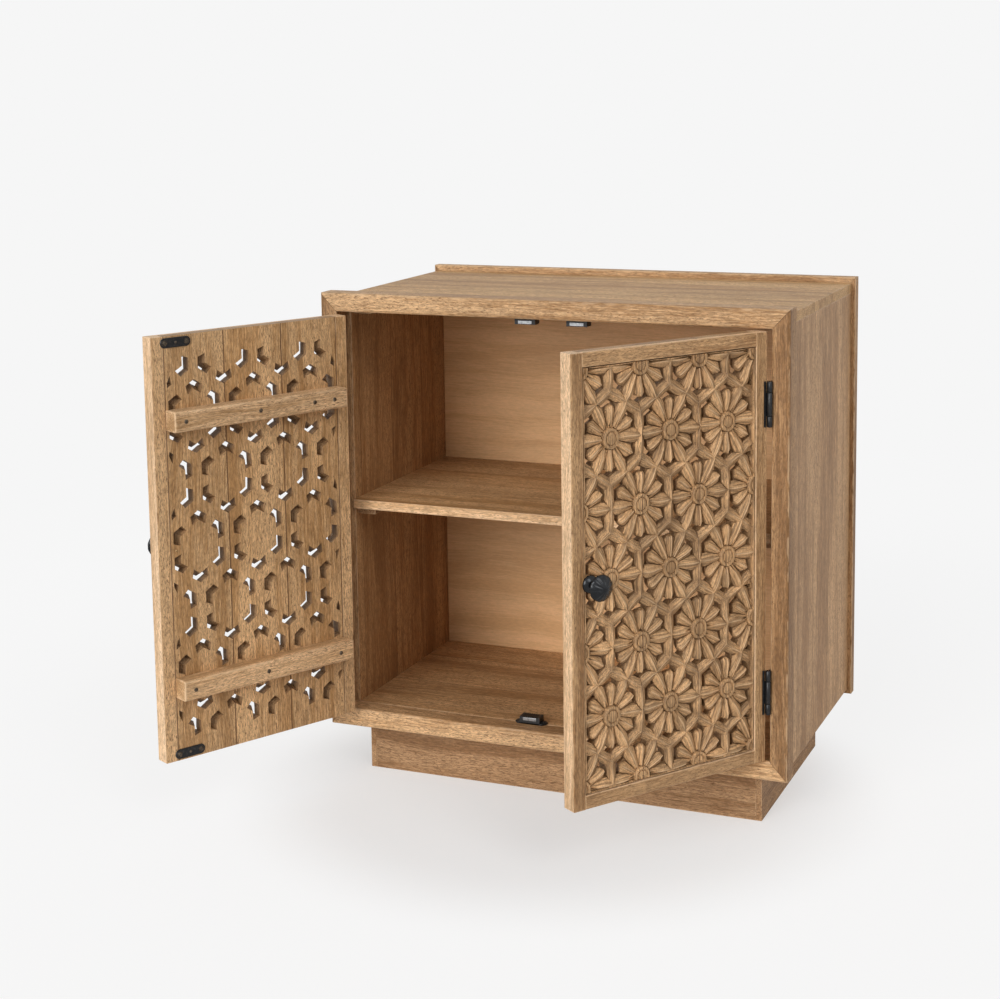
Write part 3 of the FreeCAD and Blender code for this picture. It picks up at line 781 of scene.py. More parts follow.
def step_to(angle, along, aside=0.0):
    """The point that lies so far along a direction, given in degrees, and aside of it."""
    cosine = math.cos(math.radians(angle))
    sine = math.sin(math.radians(angle))
    return np.array((along * cosine - aside * sine, along * sine + aside * cosine))


def ridge_lines(profile, side):
    """The shoulder and the foot on one side of a ridge, or its crest, as strings of points."""
    for foot in ((0, 1) if side else (0,)):
        yield [(along, side * (half + foot * (shoulder - groove_level) * wall_lean))
               for along, crest, shoulder, half in profile]


def cell_lines():
    """The lines that one rosette's cell is carved to, as strings of points about its centre."""
    lines = [[step_to(turn % 360, radius) for turn in range(0, 370, 10)]
             for radius in hub_radii[1:]]
    for turn in range(0, 360, 30):
        for side in (-1, 0, 1):
            for string in ridge_lines(short_petal if turn % 60 else long_petal, side):
                lines.append([step_to(turn, along, aside) for along, aside in string])
    for turn in range(0, 360, 60):
        for way in (-1, 1):
            for side in (0, 1):
                for string in ridge_lines(bar, side):
                    reaches = [(along, apothem - aside) for along, aside in string]
                    lines.append([step_to(turn, reach, way * min(
                        along, reach * math.tan(math.radians(30)))) for along, reach in reaches])
    return lines


def slot_outline(centre, angle):
    """The six corners of a bent slot in one corner of a rosette's cell."""
    sine = math.sin(math.radians(60))
    lead = (apothem - bar_foot) / sine
    bend = lead - slot_width / sine
    start = centre + step_to(angle, lead)
    ends = []
    for side in (1, -1):
        far = start + step_to(angle + side * 120, slot_arm)
        ends.append((far, far + step_to(angle + side * 210, slot_width)))
    return [start, ends[0][0], ends[0][1], centre + step_to(angle, bend), ends[1][1], ends[1][0]]


rosettes = []
for row in range(lattice_rows + 1):
    shifted = (row - lattice_rows // 2) % 2
    for column in range(lattice_columns + shifted):
        rosettes.append(np.array(((column - (lattice_columns - 1 + shifted) / 2) * pitch,
                                  (row - lattice_rows / 2) * regular_row)))


def inside_edges(x, z, edges):
    """Which points lie inside closed outlines, by counting the edges that each looks across."""
    inside = np.zeros(len(x), bool)
    for (x0, z0), (x1, z1) in edges:
        crossing = (z0 > z) != (z1 > z)
        slope = (x1 - x0) / (z1 - z0 if z1 != z0 else 1e-9)
        inside ^= crossing & (x < x0 + slope * (z - z0))
    return inside


cell_reach = 50


def in_slot(x, z):
    """Whether points of the unstretched lattice lie in a bent slot."""
    inside = np.zeros(len(x), bool)
    for centre in rosettes:
        close = np.hypot(x - centre[0], z - centre[1]) < cell_reach
        for step in range(6):
            outline = slot_outline(centre, 30 + 60 * step)
            inside[close] |= inside_edges(x[close], z[close],
                                          zip(outline, outline[1:] + outline[:1]))
    return inside


slack = 0.01


def flared(points):
    """Where the edges of the slots lie on the back: the sides by the rosettes slope away."""
    moved = points.copy()
    sine = math.sin(math.radians(60))
    margin = margin_at(points[:, 0], points[:, 1])
    for centre in rosettes:
        x = points[:, 0] - centre[0]
        z = points[:, 1] - centre[1]
        for step in range(6):
            angle = math.radians(30 + 60 * step)
            along = x * math.cos(angle) + z * math.sin(angle)
            aside = np.abs(z * math.cos(angle) - x * math.sin(angle))
            across = apothem - bar_foot - along * sine - aside / 2
            near = (across > -slack) & (across < slot_width + slack) & (aside < slot_arm + 1)
            near &= (along > 0) & (margin > bead_insets[-2] + slack)
            shift = np.where(near, across / slot_width * slot_flare / sine, 0)
            moved[:, 0] -= shift * math.cos(angle)
            moved[:, 1] -= shift * math.sin(angle)
    return moved


join_distance = 0.0005


def triangulate(strings, loose, keep):
    """Points and triangles that follow strings of points and loose points, where a test on the
    triangles' middles keeps them."""
    corners = []
    edges = []
    for string in strings:
        start = len(corners)
        corners += [Vector(corner) for corner in string]
        edges += [(k, k + 1) for k in range(start, len(corners) - 1)]
    corners += [Vector(corner) for corner in loose]
    found = delaunay_2d_cdt(corners, edges, [], 0, join_distance)
    points = np.array([tuple(corner) for corner in found[0]])
    faces = np.array([face for face in found[2] if len(face) == 3])
    middle = points[faces].mean(axis=1)
    faces = faces[keep(middle[:, 0], middle[:, 1])]
    used = np.unique(faces)
    place = np.zeros(len(points), int)
    place[used] = np.arange(len(used))
    return points[used], place[faces]


row_share = 0.866


def loose_points(step):
    """Points in a staggered net over the field."""
    rows = int(2 * half_z / (step * row_share))
    found = []
    for row in range(1, rows):
        z = -half_z + 2 * half_z * row / rows
        columns = int(2 * half_x / step)
        for column in range(columns):
            x = -half_x + step * (column + 0.75 - 0.5 * (row % 2))
            if abs(x) < half_x - 0.3 * step:
                found.append((x, z))
    return found


def border_of(faces):
    """Edges that only one triangle has, in that triangle's own direction."""
    sides = np.concatenate([faces[:, [0, 1]], faces[:, [1, 2]], faces[:, [2, 0]]])
    count = len(faces) * 3
    key = np.sort(sides, axis=1)
    key = key[:, 0] * count + key[:, 1]
    order = np.unique(key, return_index=True, return_counts=True)
    return sides[order[1][order[2] == 1]]


def in_board(x, z):
    """Whether wood is left: within the field, and on its border or clear of every slot."""
    margin = margin_at(x, z)
    return (margin > 0) & ((margin < bead_insets[-2]) | ~in_slot(x, z))


carving_lines = []
for inset in bead_insets[:-1]:
    x = half_x - inset
    z = half_z - inset / stretch
    carving_lines.append([(-x, -z), (x, -z), (x, z), (-x, z), (-x, -z)])
for centre in rosettes:
    for line in cell_lines():
        carving_lines.append([centre + point for point in line])
    for step in range(6):
        outline = slot_outline(centre, 30 + 60 * step)
        carving_lines.append(outline + outline[:1])
net_step = 2.2
back_step = 14.0
face_points, face_triangles = triangulate(carving_lines, loose_points(net_step), in_board)
rim_edges = border_of(face_triangles)
rim_places = flared(face_points)
rim_strings = [[tuple(rim_places[a]), tuple(rim_places[b])] for a, b in rim_edges]
back_points, back_triangles = triangulate(rim_strings, loose_points(back_step),
                                          lambda x, z: inside_edges(x, z, rim_strings))

drift_length = 13
drift_reach = 0.8
dent_length = 4.5
dent_depth = 0.4
dent_fade = 4
calm_border = 3
least_ground = 0.3
least_slope = 0.1


def hand_drift(x, z, seed):
    """How far the carver's hand strayed from the drawn lines, in millimetres, and up or down."""
    border = np.minimum(half_x - np.abs(x), half_z - np.abs(z))
    calm = drift_reach * np.clip(border / calm_border, 0, 1)
    drift = np.array([[noise.noise(Vector((a / drift_length, b / drift_length, seed + way)))
                       for way in (0.4, 20.4)] for a, b in zip(x, z)])
    dents = np.array([noise.noise(Vector((a / dent_length, b / dent_length, seed + 40)))
                      for a, b in zip(x, z)])
    return drift[:, 0] * calm, drift[:, 1] * calm, dents * dent_depth


# Painted shade on the walls of the slots, upright and sloping
wall_painted_shade = 0.5
slope_painted_shade = 0.6


def carved_mesh(seed):
    """The field of the board on the right door when shut: carved face, slot walls and back."""
    heights, depth, crest, tone, flow = carving_at(face_points[:, 0], face_points[:, 1], seed)
    shapes = []
    for points, face in ((face_points, True), (back_points, False)):
        stray_x, stray_z, dent = hand_drift(points[:, 0], points[:, 1], seed)
        x = field_middle.x + points[:, 0] + stray_x
        z = field_middle.z + (points[:, 1] + stray_z) * stretch
        if face:
            lift = heights + dent * np.clip(heights / dent_fade, 0, 1)
            y = field_low.y + ground_depth - np.clip(lift, 0, ground_depth - least_ground)
        else:
            y = np.full(len(x), field_high.y)
        shapes.append(np.stack([x, y, z], axis=1))
    known = enumerate(back_points, len(face_points))
    index = {tuple(np.round(point, 3)): k for k, point in known}
    back_of = {k: index[tuple(np.round(rim_places[k], 3))] for k in np.unique(rim_edges)}
    corners = np.concatenate(shapes) * mm
    faces = [tuple(face) for face in face_triangles]
    faces += [tuple(face[::-1] + len(face_points)) for face in back_triangles]
    faces += [(b, a, back_of[a], back_of[b]) for a, b in rim_edges]
    mesh = bpy.data.meshes.new("carved_field")
    mesh.from_pydata(corners.tolist(), [], faces)
    rest = len(back_points)
    # Painted shade at each corner: from the carving on the face, on the slot walls, and none on
    # the back
    moved = np.abs(rim_places - face_points).max(axis=1) > least_slope
    sloping = moved[rim_edges].all(axis=1)
    walls = np.where(sloping, slope_painted_shade, wall_painted_shade)
    sunk = mesh.attributes.new("painted_recess_shade", "FLOAT", "CORNER")
    sunk.data.foreach_set("value", np.concatenate([
        depth[face_triangles].ravel(), np.zeros(3 * len(back_triangles)),
        np.repeat(walls, 4)]).astype(np.float32))
    write_attribute(mesh, "crest_wear_and_highlight", "FLOAT", np.concatenate([crest, np.zeros(rest)]))
    write_attribute(mesh, "carved_tone", "FLOAT", np.concatenate([tone, np.full(rest, 0.5)]))
    flow = np.concatenate([flow, np.zeros((rest, 3))])
    write_attribute(mesh, "carved_flow", "FLOAT_VECTOR", flow * mm)
    return mesh


carved_plank = 82.3 * mm
tool_marks = ((34.0, 600.0, 500.0), 4.0, 0.7)
mark_levels = (0.41, 0.59, 0.56, 1.26)
tone_levels = (0.0, 1.0, 0.88, 1.1)
# Painted shade in the recesses: the levels it is spread over, and its colour
painted_shade_levels = (0.1, 1.0, 0.0, 0.7)
painted_recess_shade_colour = (88, 60, 36)
# Crests rubbed pale, with a painted highlight along them: its colour, sharpness and share
crest_wear_and_highlight_colour = (232, 196, 154)
crest_wear_and_highlight_sharpness = 11.0
crest_wear_and_highlight_share = 0.85
gouge_strength = 0.8
gouge_depth = 0.8 * mm


def carved_finish():
    """The wood of the boards, with painted shade in the recesses, and rubbed pale with a painted
    highlight along the crests.
    """
    made = wood("carved_wood", light=(196, 156, 112), dark=(166, 128, 88), worn=(196, 160, 122),
                plank_width=carved_plank, seam_strength=0.7, pore_strength=0.45,
                wear_width=0.2 * mm, mottle_strength=0.5, bump=0.4)
    tree = made.node_tree
    shader = tree.nodes["Principled BSDF"]
    colour = shader.inputs["Base Color"].links[0].from_socket
    tone = spread(tree, board_attribute(tree, "carved_tone")["Fac"], *tone_levels)
    flow = node(tree, "SeparateXYZ", {0: board_attribute(tree, "carved_flow")["Vector"]}).outputs
    marks = grain_noise(tree, flow, *tool_marks)
    tone = reckon(tree, "MULTIPLY", tone, spread(tree, marks, *mark_levels))
    colour = shaded(tree, colour, tone)
    # Painted shade in the recesses, from how deep each point is sunk
    depth = spread(tree, board_attribute(tree, "painted_recess_shade")["Fac"], *painted_shade_levels)
    colour = blend_colours(tree, depth, colour, tint(painted_recess_shade_colour))
    # Crests rubbed pale, with a painted highlight along them
    crest = reckon(tree, "POWER", board_attribute(tree, "crest_wear_and_highlight")["Fac"], crest_wear_and_highlight_sharpness)
    crest = reckon(tree, "MULTIPLY", crest, crest_wear_and_highlight_share)
    colour = blend_colours(tree, crest, colour, tint(crest_wear_and_highlight_colour))
    tree.links.new(colour, shader.inputs["Base Color"])
    gouged = node(tree, "Bump", {"Height": marks, "Strength": gouge_strength,
                                 "Distance": gouge_depth,
                                 "Normal": shader.inputs["Normal"].links[0].from_socket})
    tree.links.new(gouged.outputs[0], shader.inputs["Normal"])
    return made


def box_shape(low, high):
    """A closed block between two corners."""
    shape = bmesh.new()
    bmesh.ops.create_cube(shape, size=1.0)
    for corner in shape.verts:
        for k in range(3):
            corner.co[k] = (high if corner.co[k] > 0 else low)[k]
    return shape


carved_wood = carved_finish()
plank_wood = wood("plank_wood", light=(220, 179, 131), dark=(170, 129, 84),
                  plank_width=carved_plank, seam_strength=0.9, wear_width=0.2 * mm, bump=0.5)
carving_seeds = {"left": 9, "right": 5}
rose_low, rose_high = closed_box("knob_rose", "right")
rose_middle = (rose_low + rose_high) / 2
rose_radius = (rose_high.x - rose_low.x) / 2
mirror = Matrix.Scale(-1, 4, (1, 0, 0))
tongue_front = rail_high.y
seat_radius = 0.93 * rose_radius
seat_height = 0.5 * ground_depth * mm
weld_distance = 0.001 * mm
sharp_angle = math.radians(24)
for side in sides:
    name = side + "_door_carved_board"
    field = bmesh.new()
    field.from_mesh(carved_mesh(carving_seeds[side]))
    bmesh.ops.remove_doubles(field, verts=field.verts, dist=weld_distance)
    seat = lathe(((seat_radius, 0.0), (seat_radius, seat_height)), 32)
    upright = Matrix.Translation((rose_middle.x, rose_high.y + seat_height,
                                  rose_middle.z)) @ facing((0, -1, 0))
    tongues = [box_shape((board_low.x, tongue_front, low), (board_high.x, board_high.y, high))
               for low, high in ((board_low.z, field_low.z * mm),
                                 (field_high.z * mm, board_high.z))]
    whole = merge([(seat, upright)] + [(shape, Matrix()) for shape in (field, *tongues)])
    corners = points_of(whole)
    write_board(whole, corners, np.array(board_low), np.array(board_high), seeds[name])
    if side == "left":
        whole.transform(mirror)
        whole.flip_normals()
    whole.transform(swings[side])
    whole.polygons.foreach_set("use_smooth", np.ones(len(whole.polygons), bool))
    whole.set_sharp_from_angle(angle=sharp_angle)
    board = show("finished_" + name, whole, carved_wood, "carved_wood", side + "_door", name)
    out = swings[side].to_3x3() @ Vector((0, 1, 0))
    finish_some(board, plank_wood, lambda normal: normal.dot(out) > 0.9)

# Battens. Two bars with eased edges hold the planks of each board flat. They are screwed on
# from inside, with dark slotted screws let in a little.

batten_wood = wood("batten_wood", light=(226, 187, 143), dark=(178, 139, 96),
                   worn=(226, 192, 152), wear_width=2.2 * mm)
for side in sides:
    for member in ("upper_batten", "lower_batten"):
        finish_board(side + "_door_" + member, batten_wood, "batten_wood", side + "_door",
                     sanding=1.3 * mm, swing=swings[side])
    screw_group("slotted_" + side + "_batten_screws", side + "_door_batten_screws", dark_screw,
                "dark_screw", side + "_door", (0, 1, 0), swings[side])

# Strike plates. Round-ended iron plates, painted black, sit at the free corners inside each
# door. An eyelet and a screw hold each end, and a smaller screw the middle.

black_iron = metal("black_iron", (30, 31, 33), (58, 56, 54), 0.36, 0.35, 260.0, bump=0.25)
eyelet_metal = metal("eyelet_metal", (70, 62, 54), (120, 104, 84), 0.35, 0.8, 420.0)


def round_ended(length, height, thickness):
    """A flat plate with round ends and an eased rim. It lies in XY and its face looks along +Z."""
    shape = bmesh.new()
    radius = height / 2
    loops = []
    for inset, level in ((0.0, 0.0), (0.0, 0.65 * thickness), (0.25 * thickness, thickness)):
        loop = []
        for side, start in ((1, -90), (-1, 90)):
            for k in range(13):
                angle = math.radians(start + 15 * k)
                loop.append(shape.verts.new((
                    side * (length / 2 - radius) + (radius - inset) * math.cos(angle),
                    (radius - inset) * math.sin(angle), level)))
        loops.append(loop)
    return skin(shape, loops)


def on_inside(centre, half):
    """The place of a piece that lies on a shut door's inner face, with its own +Z outward."""
    return Matrix.Translation((centre.x, centre.y - half.y, centre.z)) @ Matrix.Rotation(
        math.radians(-90), 4, "X")


plate_thickness = 1.4 * mm
eyelet_rings = [(radius * mm, height * mm) for radius, height in (
    (3.6, -0.1), (3.4, 0.45), (2.9, 0.6), (2.4, 0.4), (2.3, 0.0))]
for side in sides:
    swing = swings[side]
    body = side + "_door"
    plates = []
    eyelets = []
    heads = []
    for centre, half in solids_of(body + "_strike_plates", swing):
        base = on_inside(centre, half)
        plates.append((round_ended(2 * half.x, 2 * half.z, plate_thickness), swing @ base))
        heads.append((slotted_head(1.6 * mm, 0.5 * mm),
                      swing @ base @ Matrix.Translation((0, 0, 1.35 * mm))))
    for centre, half in solids_of(body + "_strike_screws", swing):
        base = on_inside(centre, half)
        eyelets.append((lathe(eyelet_rings, 28), swing @ base))
        heads.append((slotted_head(2.1 * mm, 0.75 * mm),
                      swing @ base @ Matrix.Rotation(40 * centre.x, 4, "Z")))
    show("black_" + body + "_strike_plates", merge(plates), black_iron, "black_plate", body,
         body + "_strike_plates")
    show("eyelets_" + body, merge(eyelets), eyelet_metal, "steel_screw", body)
    show("slotted_" + body + "_strike_screws", merge(heads), dark_screw, "steel_screw", body,
         body + "_strike_screws")

# Knobs. A black mushroom head, fluted like a flower, on a short stem. It is screwed through a
# domed round rose into each carved board, and the tip of its screw just shows inside.

knob_metal = metal("knob_metal", (20, 22, 25), (42, 44, 47), 0.22, 0.4, 180.0, bump=0.1)
brass = metal("brass", (196, 164, 118), (150, 118, 78), 0.35, 0.7, 600.0)
knob_low, knob_high = closed_box("knob", "right")
knob_radius = (knob_high.x - knob_low.x) / 2
knob_length = rose_low.y - knob_low.y
rose_height = rose_high.y - rose_low.y
flutes = 12


def head_flute(count, angle):
    """The head's face dips between its ribs, most of all half way to the middle."""
    depth = {6: 0.02, 7: 0.035, 8: 0.09, 9: 0.12, 10: 0.12}.get(count, 0.0)
    return 1 - depth * (0.5 + 0.5 * math.cos(flutes * angle)) ** 2


# Radius and height of each ring, as shares of the whole radius and height
stem_share = 0.29
head_shares = ((stem_share, 0.30), (0.36, 0.40), (0.62, 0.46), (0.93, 0.54), (1.0, 0.60),
               (0.99, 0.655), (0.93, 0.70), (0.74, 0.80), (0.50, 0.895), (0.27, 0.965),
               (0.12, 0.995), (0.03, 1.0))
rose_shares = ((1.0, 0.0), (1.0, 0.14), (0.97, 0.28), (0.88, 0.48), (0.74, 0.68), (0.58, 0.86),
               (0.46, 1.0))
head_rings = [(stem_share * knob_radius, -0.5 * mm)]
head_rings += [(wide * knob_radius, high * knob_length) for wide, high in head_shares]
rose_rings = [(wide * rose_radius, high * rose_height) for wide, high in rose_shares]
for side in sides:
    swing = swings[side] @ (mirror if side == "left" else Matrix())
    body = side + "_door"
    out = facing((0, -1, 0))
    face = Matrix.Translation((rose_middle.x, rose_high.y, rose_middle.z)) @ out
    front_of_rose = Matrix.Translation((rose_middle.x, rose_low.y, rose_middle.z)) @ out
    show("black_" + body + "_rose", merge([(lathe(rose_rings, 48), swing @ face)]), knob_metal,
         "black_iron", body, body + "_knob_rose")
    tip = Matrix.Translation((rose_middle.x, board_high.y, rose_middle.z)) @ facing((0, 1, 0))
    show("screw_tip_" + body + "_knob", merge([(slotted_head(1.5 * mm, 0.8 * mm), swing @ tip)]),
         brass, "steel_screw", body)
    show("fluted_" + body + "_knob",
         merge([(lathe(head_rings, 96, head_flute), swing @ front_of_rose)]), knob_metal,
         "black_iron", body, body + "_knob")

# Hinges. Two black butt hinges to a door. The case leaf has the two end knuckles, the door leaf
# the middle one and a strip that laps the door's face, and a loose pin joins them.

hinge_clear = 0.3 * mm
leaf_thickness = 0.75 * mm
lip_thickness = 1 * mm
knuckle_length = 13 * mm
pin_radius = 1.6 * mm


def knuckle(radius, low, high):
    """One rolled knuckle with eased ends, standing on its place along the pin."""
    ease = 0.5 * mm
    return lathe(((radius - ease, low), (radius, low + ease), (radius, high - ease),
                  (radius - ease, high)), 32)


def slab(outline, low, high):
    """A flat piece of an outline in X and Z, from one Y to another."""
    shape = bmesh.new()
    skin(shape, [[shape.verts.new((x, y, z)) for x, z in outline] for y in (low, high)])
    bmesh.ops.recalc_face_normals(shape, faces=shape.faces)
    return shape


def eased(low, high, size):
    shape = box_shape(low, high)
    rounded = bmesh.ops.bevel(shape, geom=shape.edges[:], offset=size, segments=2, profile=0.6,
                              affect="EDGES")
    for face in rounded["faces"]:
        face.smooth = True
    return shape


leaf_solids = solids_of("right_hinge_case_leaves")
pin_place = Vector([joint["pos_m"] for joint in frame["joints"]
                    if joint["child"] == "right_door"][0])
door_low, door_high = closed_box("hinge_leaves", "right")
door_edge = closed_box("hinge_stile", "right")[1].x
wall_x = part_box("front_right_stile")[0].x
knuckle_radius = (door_high.x - pin_place.x) / math.cos(math.pi / 8)
stand = Matrix.Translation((pin_place.x, pin_place.y, 0))
front_y = rose_high.y
back_y = door_high.y
for side in sides:
    flip = mirror if side == "left" else Matrix()
    case_parts = []
    door_parts = []
    for centre, half in leaf_solids:
        low = centre.z - half.z
        high = centre.z + half.z
        case_parts.append((eased((wall_x - leaf_thickness, front_y, low), (wall_x, back_y, high),
                                 0.2 * mm), flip))
        for start in (low, high - knuckle_length):
            case_parts.append((knuckle(knuckle_radius, start, start + knuckle_length),
                               flip @ stand))
            case_parts.append((box_shape((wall_x - leaf_thickness, pin_place.y, start),
                                         (wall_x, front_y, start + knuckle_length)), flip))
        middle_low = low + knuckle_length + hinge_clear
        middle_high = high - knuckle_length - hinge_clear
        notch = pin_place.x - knuckle_radius - hinge_clear
        outline = [(door_low.x, low), (notch, low), (notch, middle_low), (door_edge, middle_low),
                   (door_edge, middle_high), (notch, middle_high), (notch, high),
                   (door_low.x, high)]
        door_parts.append((knuckle(knuckle_radius, middle_low, middle_high), flip @ stand))
        door_parts.append((slab(outline, front_y - lip_thickness, front_y), flip))
        door_parts.append((eased((door_edge, front_y, low),
                                 (door_edge + leaf_thickness, back_y, high), 0.2 * mm), flip))
        door_parts.append((box_shape((door_edge, pin_place.y, middle_low),
                                     (door_edge + leaf_thickness, front_y, middle_high)), flip))
    door_parts = [(shape, swings[side] @ place) for shape, place in door_parts]
    show("black_" + side + "_case_leaves", merge(case_parts), black_iron, "black_iron", "case",
         side + "_hinge_case_leaves")
    show("black_" + side + "_door_leaves", merge(door_parts), black_iron, "black_iron",
         side + "_door", side + "_door_hinge_leaves")
pins = []
for centre, half in solids_of("hinge_pins"):
    stand = Matrix.Translation((centre.x, centre.y, centre.z - half.z))
    pins.append((lathe(((0.6 * pin_radius, 0), (pin_radius, 0.4 * mm),
                        (pin_radius, 2 * half.z - 0.4 * mm), (0.6 * pin_radius, 2 * half.z)), 20),
                 stand))
show("round_hinge_pins", merge(pins), black_iron, "black_iron", "case", "hinge_pins")

# Catches. Black moulded housings with a ribbed back and two screwed ears hold a magnet each,
# under the top rail and on the bottom rail, just behind the doors.

catch_plastic = metal("catch_plastic", (24, 25, 27), (38, 38, 40), 0.5, 0.0, 200.0, bump=0.15)
magnet_steel = metal("magnet_steel", (176, 178, 180), (140, 140, 142), 0.3, 1.0, 300.0)
catch_screw = metal("catch_screw", (44, 42, 40), (90, 84, 76), 0.4, 0.7, 300.0)
catch_ear = 7.5 * mm
catch_foot = 2 * mm
catch_corner = 4.5 * mm
rib_pitch = 3.0 * mm
rib_gap = 1.0 * mm
rib_depth = 1.1 * mm


def ribbed_housing(low, high):
    """The moulded body, with ribs across its free side. It is drawn for a seat below it."""
    left = low.x + catch_ear
    right = high.x - catch_ear
    top = high.z
    outline = [(left, low.z), (right, low.z), (right, top)]
    place = right - 1.4 * rib_pitch
    while place > left + 1.2 * rib_pitch:
        outline += [(place, top), (place - 0.15 * rib_gap, top - rib_depth),
                    (place - 0.85 * rib_gap, top - rib_depth), (place - rib_gap, top)]
        place -= rib_pitch
    outline.append((left, top))
    return slab(outline, low.y, high.y)


def catch_base(low, high):
    """The flat foot of a catch, its corners cut off at the ears."""
    shape = bmesh.new()
    cut = catch_corner
    outline = [(low.x + cut, low.y), (high.x - cut, low.y), (high.x, low.y + cut),
               (high.x, high.y - cut), (high.x - cut, high.y), (low.x + cut, high.y),
               (low.x, high.y - cut), (low.x, low.y + cut)]
    skin(shape, [[shape.verts.new((x, y, level)) for x, y in outline]
                 for level in (low.z, low.z + catch_foot)])
    edges = [e for e in shape.edges if all(v.co.z > low.z + mm for v in e.verts)]
    bmesh.ops.bevel(shape, geom=edges, offset=0.35 * mm, segments=2, affect="EDGES")
    return shape


for side in sides:
    for level in ("top", "bottom"):
        name = side + "_" + level + "_catch"
        low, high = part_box(name)
        turn = Matrix()
        if level == "top":
            middle = (low + high) / 2
            turn = Matrix.Translation(middle) @ Matrix.Rotation(math.pi, 4, "Y") @ \
                Matrix.Translation(-middle)
        show("moulded_" + name, merge([(catch_base(low, high), turn),
                                       (ribbed_housing(low, high), turn)]),
             catch_plastic, "catch_plastic", "case", name)
magnets = frame["nodes"]["catch_magnets"].data.copy()
soften(magnets, 0.25 * mm)
show("bright_catch_magnets", magnets, magnet_steel, "magnet_steel", "case", "catch_magnets")
catch_heads = []
for count, (centre, half) in enumerate(solids_of("catch_screws")):
    way = -1 if centre.z > field_middle.z * mm else 1
    seat = centre - Vector((0, 0, way * half.z))
    place = Matrix.Translation(seat) @ facing((0, 0, way)) @ Matrix.Rotation(1.3 * count, 4, "Z")
    catch_heads.append((slotted_head(half.x, 2 * half.z), place))
show("slotted_catch_screws", merge(catch_heads), catch_screw, "steel_screw", "case",
     "catch_screws")

# Setting. A plain pale floor that fades into the backdrop, two broad soft lamps, one low from
# the left in front and one high from the right, an even pale dome, and the camera.

backdrop = (246, 246, 246)
floor_white = 0.96
dome_light = 0.43
left_lamp = (0.6, 34, -12, 18)
right_lamp = (0.19, 26, 50, 40)
near_shadow = (0.26, 0.44, 0.54, 0.2)
near_glow = (253, 253, 253)
fade_start = 0.5
fade_end = 2.2


def stage_floor():
    """A pale floor that takes the shadow, and far away has the backdrop's own colour."""
    floor = bpy.data.meshes.new("pale_floor")
    reach = 40.0
    floor.from_pydata([(-reach, -reach, 0), (reach, -reach, 0), (reach, reach, 0),
                       (-reach, reach, 0)], [], [(0, 1, 2, 3)])
    piece = bpy.data.objects.new("pale_floor", floor)
    bpy.context.scene.collection.objects.link(piece)
    made = bpy.data.materials.new("floor_paper")
    made.use_nodes = True
    tree = made.node_tree
    tree.nodes.clear()
    paper = node(tree, "BsdfDiffuse", {"Color": (floor_white, floor_white, floor_white, 1.0)})
    away = node(tree, "VectorMath", {0: node(tree, "TexCoord").outputs["Object"]},
                operation="LENGTH").outputs["Value"]
    fade = spread(tree, away, fade_start, fade_end)
    pale = blend_colours(tree, fade, tint(near_glow), tint(backdrop))
    glow = node(tree, "Emission", {"Color": pale, "Strength": 1.0})
    paper_share = reckon(tree, "MULTIPLY", spread(tree, away, *near_shadow),
                         reckon(tree, "SUBTRACT", 1.0, fade))
    far = reckon(tree, "SUBTRACT", 1.0, paper_share)
    path = node(tree, "LightPath").outputs
    seen = reckon(tree, "MAXIMUM", path["Is Camera Ray"], path["Is Transmission Ray"])
    share = reckon(tree, "MULTIPLY", far, seen)
    mixed = node(tree, "MixShader", {0: share, 1: paper.outputs[0], 2: glow.outputs[0]})
    tree.links.new(mixed.outputs[0], node(tree, "OutputMaterial").inputs["Surface"])
    floor.materials.append(made)


stage_floor()

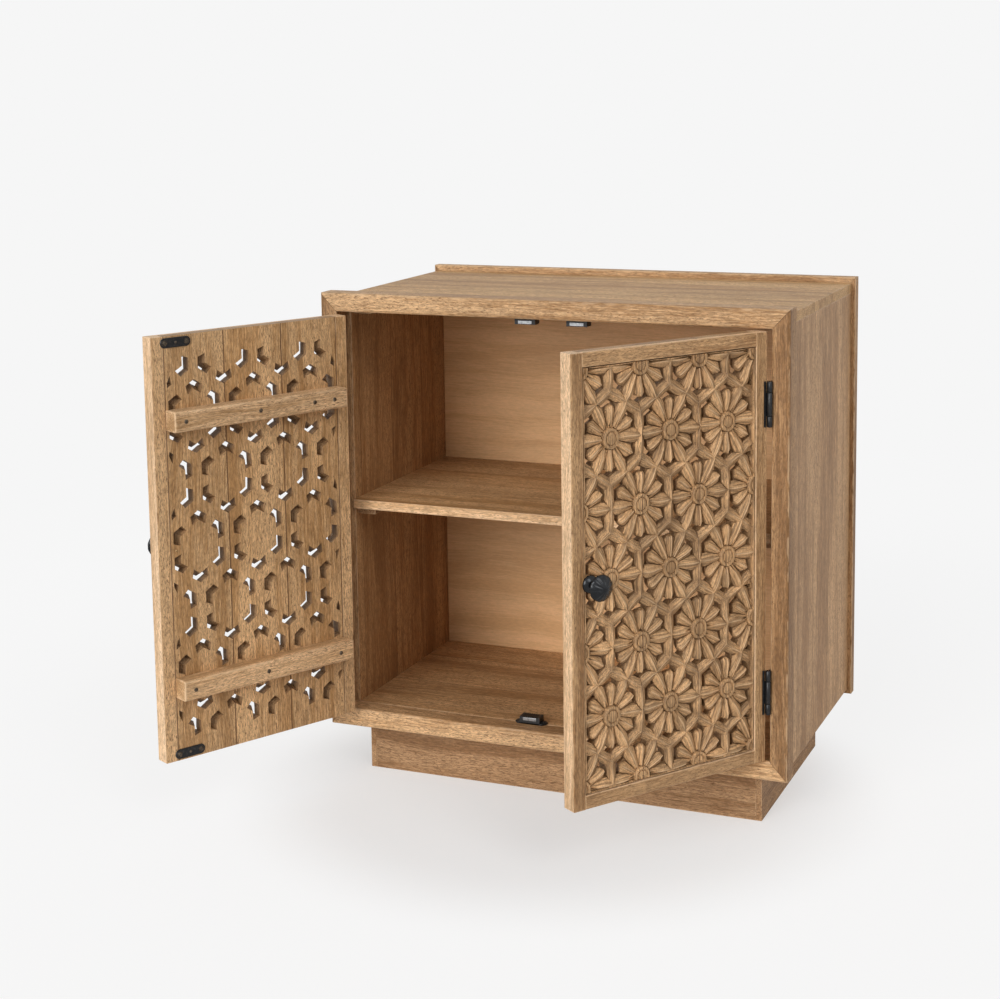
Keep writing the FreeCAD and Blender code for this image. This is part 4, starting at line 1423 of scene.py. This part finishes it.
world = bpy.data.worlds.new("pale_dome")
bpy.context.scene.world = world
world.use_nodes = True
sky = world.node_tree
background = sky.nodes["Background"]
path = node(sky, "LightPath").outputs
seen = reckon(sky, "MAXIMUM", path["Is Camera Ray"],
              reckon(sky, "MAXIMUM", path["Is Glossy Ray"], path["Is Transmission Ray"]))
dome = (dome_light, dome_light, dome_light, 1.0)
sky.links.new(blend_colours(sky, seen, dome, tint(backdrop)), background.inputs["Color"])


def soft_lamp(name, share, softness, side, height):
    """A broad far lamp. Its share is the light that a face square to it takes from it."""
    lamp = bpy.data.lights.new(name, "SUN")
    lamp.energy = share * math.pi
    lamp.angle = math.radians(softness)
    piece = bpy.data.objects.new(name, lamp)
    level = math.cos(math.radians(height))
    source = Vector((math.sin(math.radians(side)) * level, -math.cos(math.radians(side)) * level,
                     math.sin(math.radians(height))))
    piece.rotation_mode = "QUATERNION"
    piece.rotation_quaternion = source.to_track_quat("Z", "Y")
    bpy.context.scene.collection.objects.link(piece)


soft_lamp("left_lamp", *left_lamp)
soft_lamp("right_lamp", *right_lamp)

camera_place = Vector((839.8, -2184.1, 917.9)) * mm
camera_yaw = 22.76
camera_pitch = -7.88
camera_roll = -0.79
image_size = 1000
focal_pixels = 1911.5
picture_centre = (500, 330)
middle_row = 499.5

camera = bpy.data.cameras.new("camera")
camera.sensor_width = 36.0
camera.lens = focal_pixels * camera.sensor_width / image_size
camera.shift_x = (image_size / 2 - picture_centre[0]) / image_size
camera.shift_y = (picture_centre[1] - middle_row) / image_size
camera.clip_start = 0.05
camera.clip_end = 200.0
camera_piece = bpy.data.objects.new("camera", camera)
yaw = math.radians(camera_yaw)
pitch_angle = math.radians(camera_pitch)
roll = math.radians(camera_roll)
ahead = Vector((-math.sin(yaw) * math.cos(pitch_angle), math.cos(yaw) * math.cos(pitch_angle),
                math.sin(pitch_angle)))
right = Vector((math.cos(yaw), math.sin(yaw), 0))
above = right.cross(ahead)
turned_right = right * math.cos(roll) + above * math.sin(roll)
turned_up = above * math.cos(roll) - right * math.sin(roll)
facing_camera = Matrix((turned_right, turned_up, -ahead)).transposed().to_4x4()
camera_piece.matrix_world = Matrix.Translation(camera_place) @ facing_camera
bpy.context.scene.collection.objects.link(camera_piece)
bpy.context.scene.camera = camera_piece
bpy.context.scene.view_settings.view_transform = "Standard"
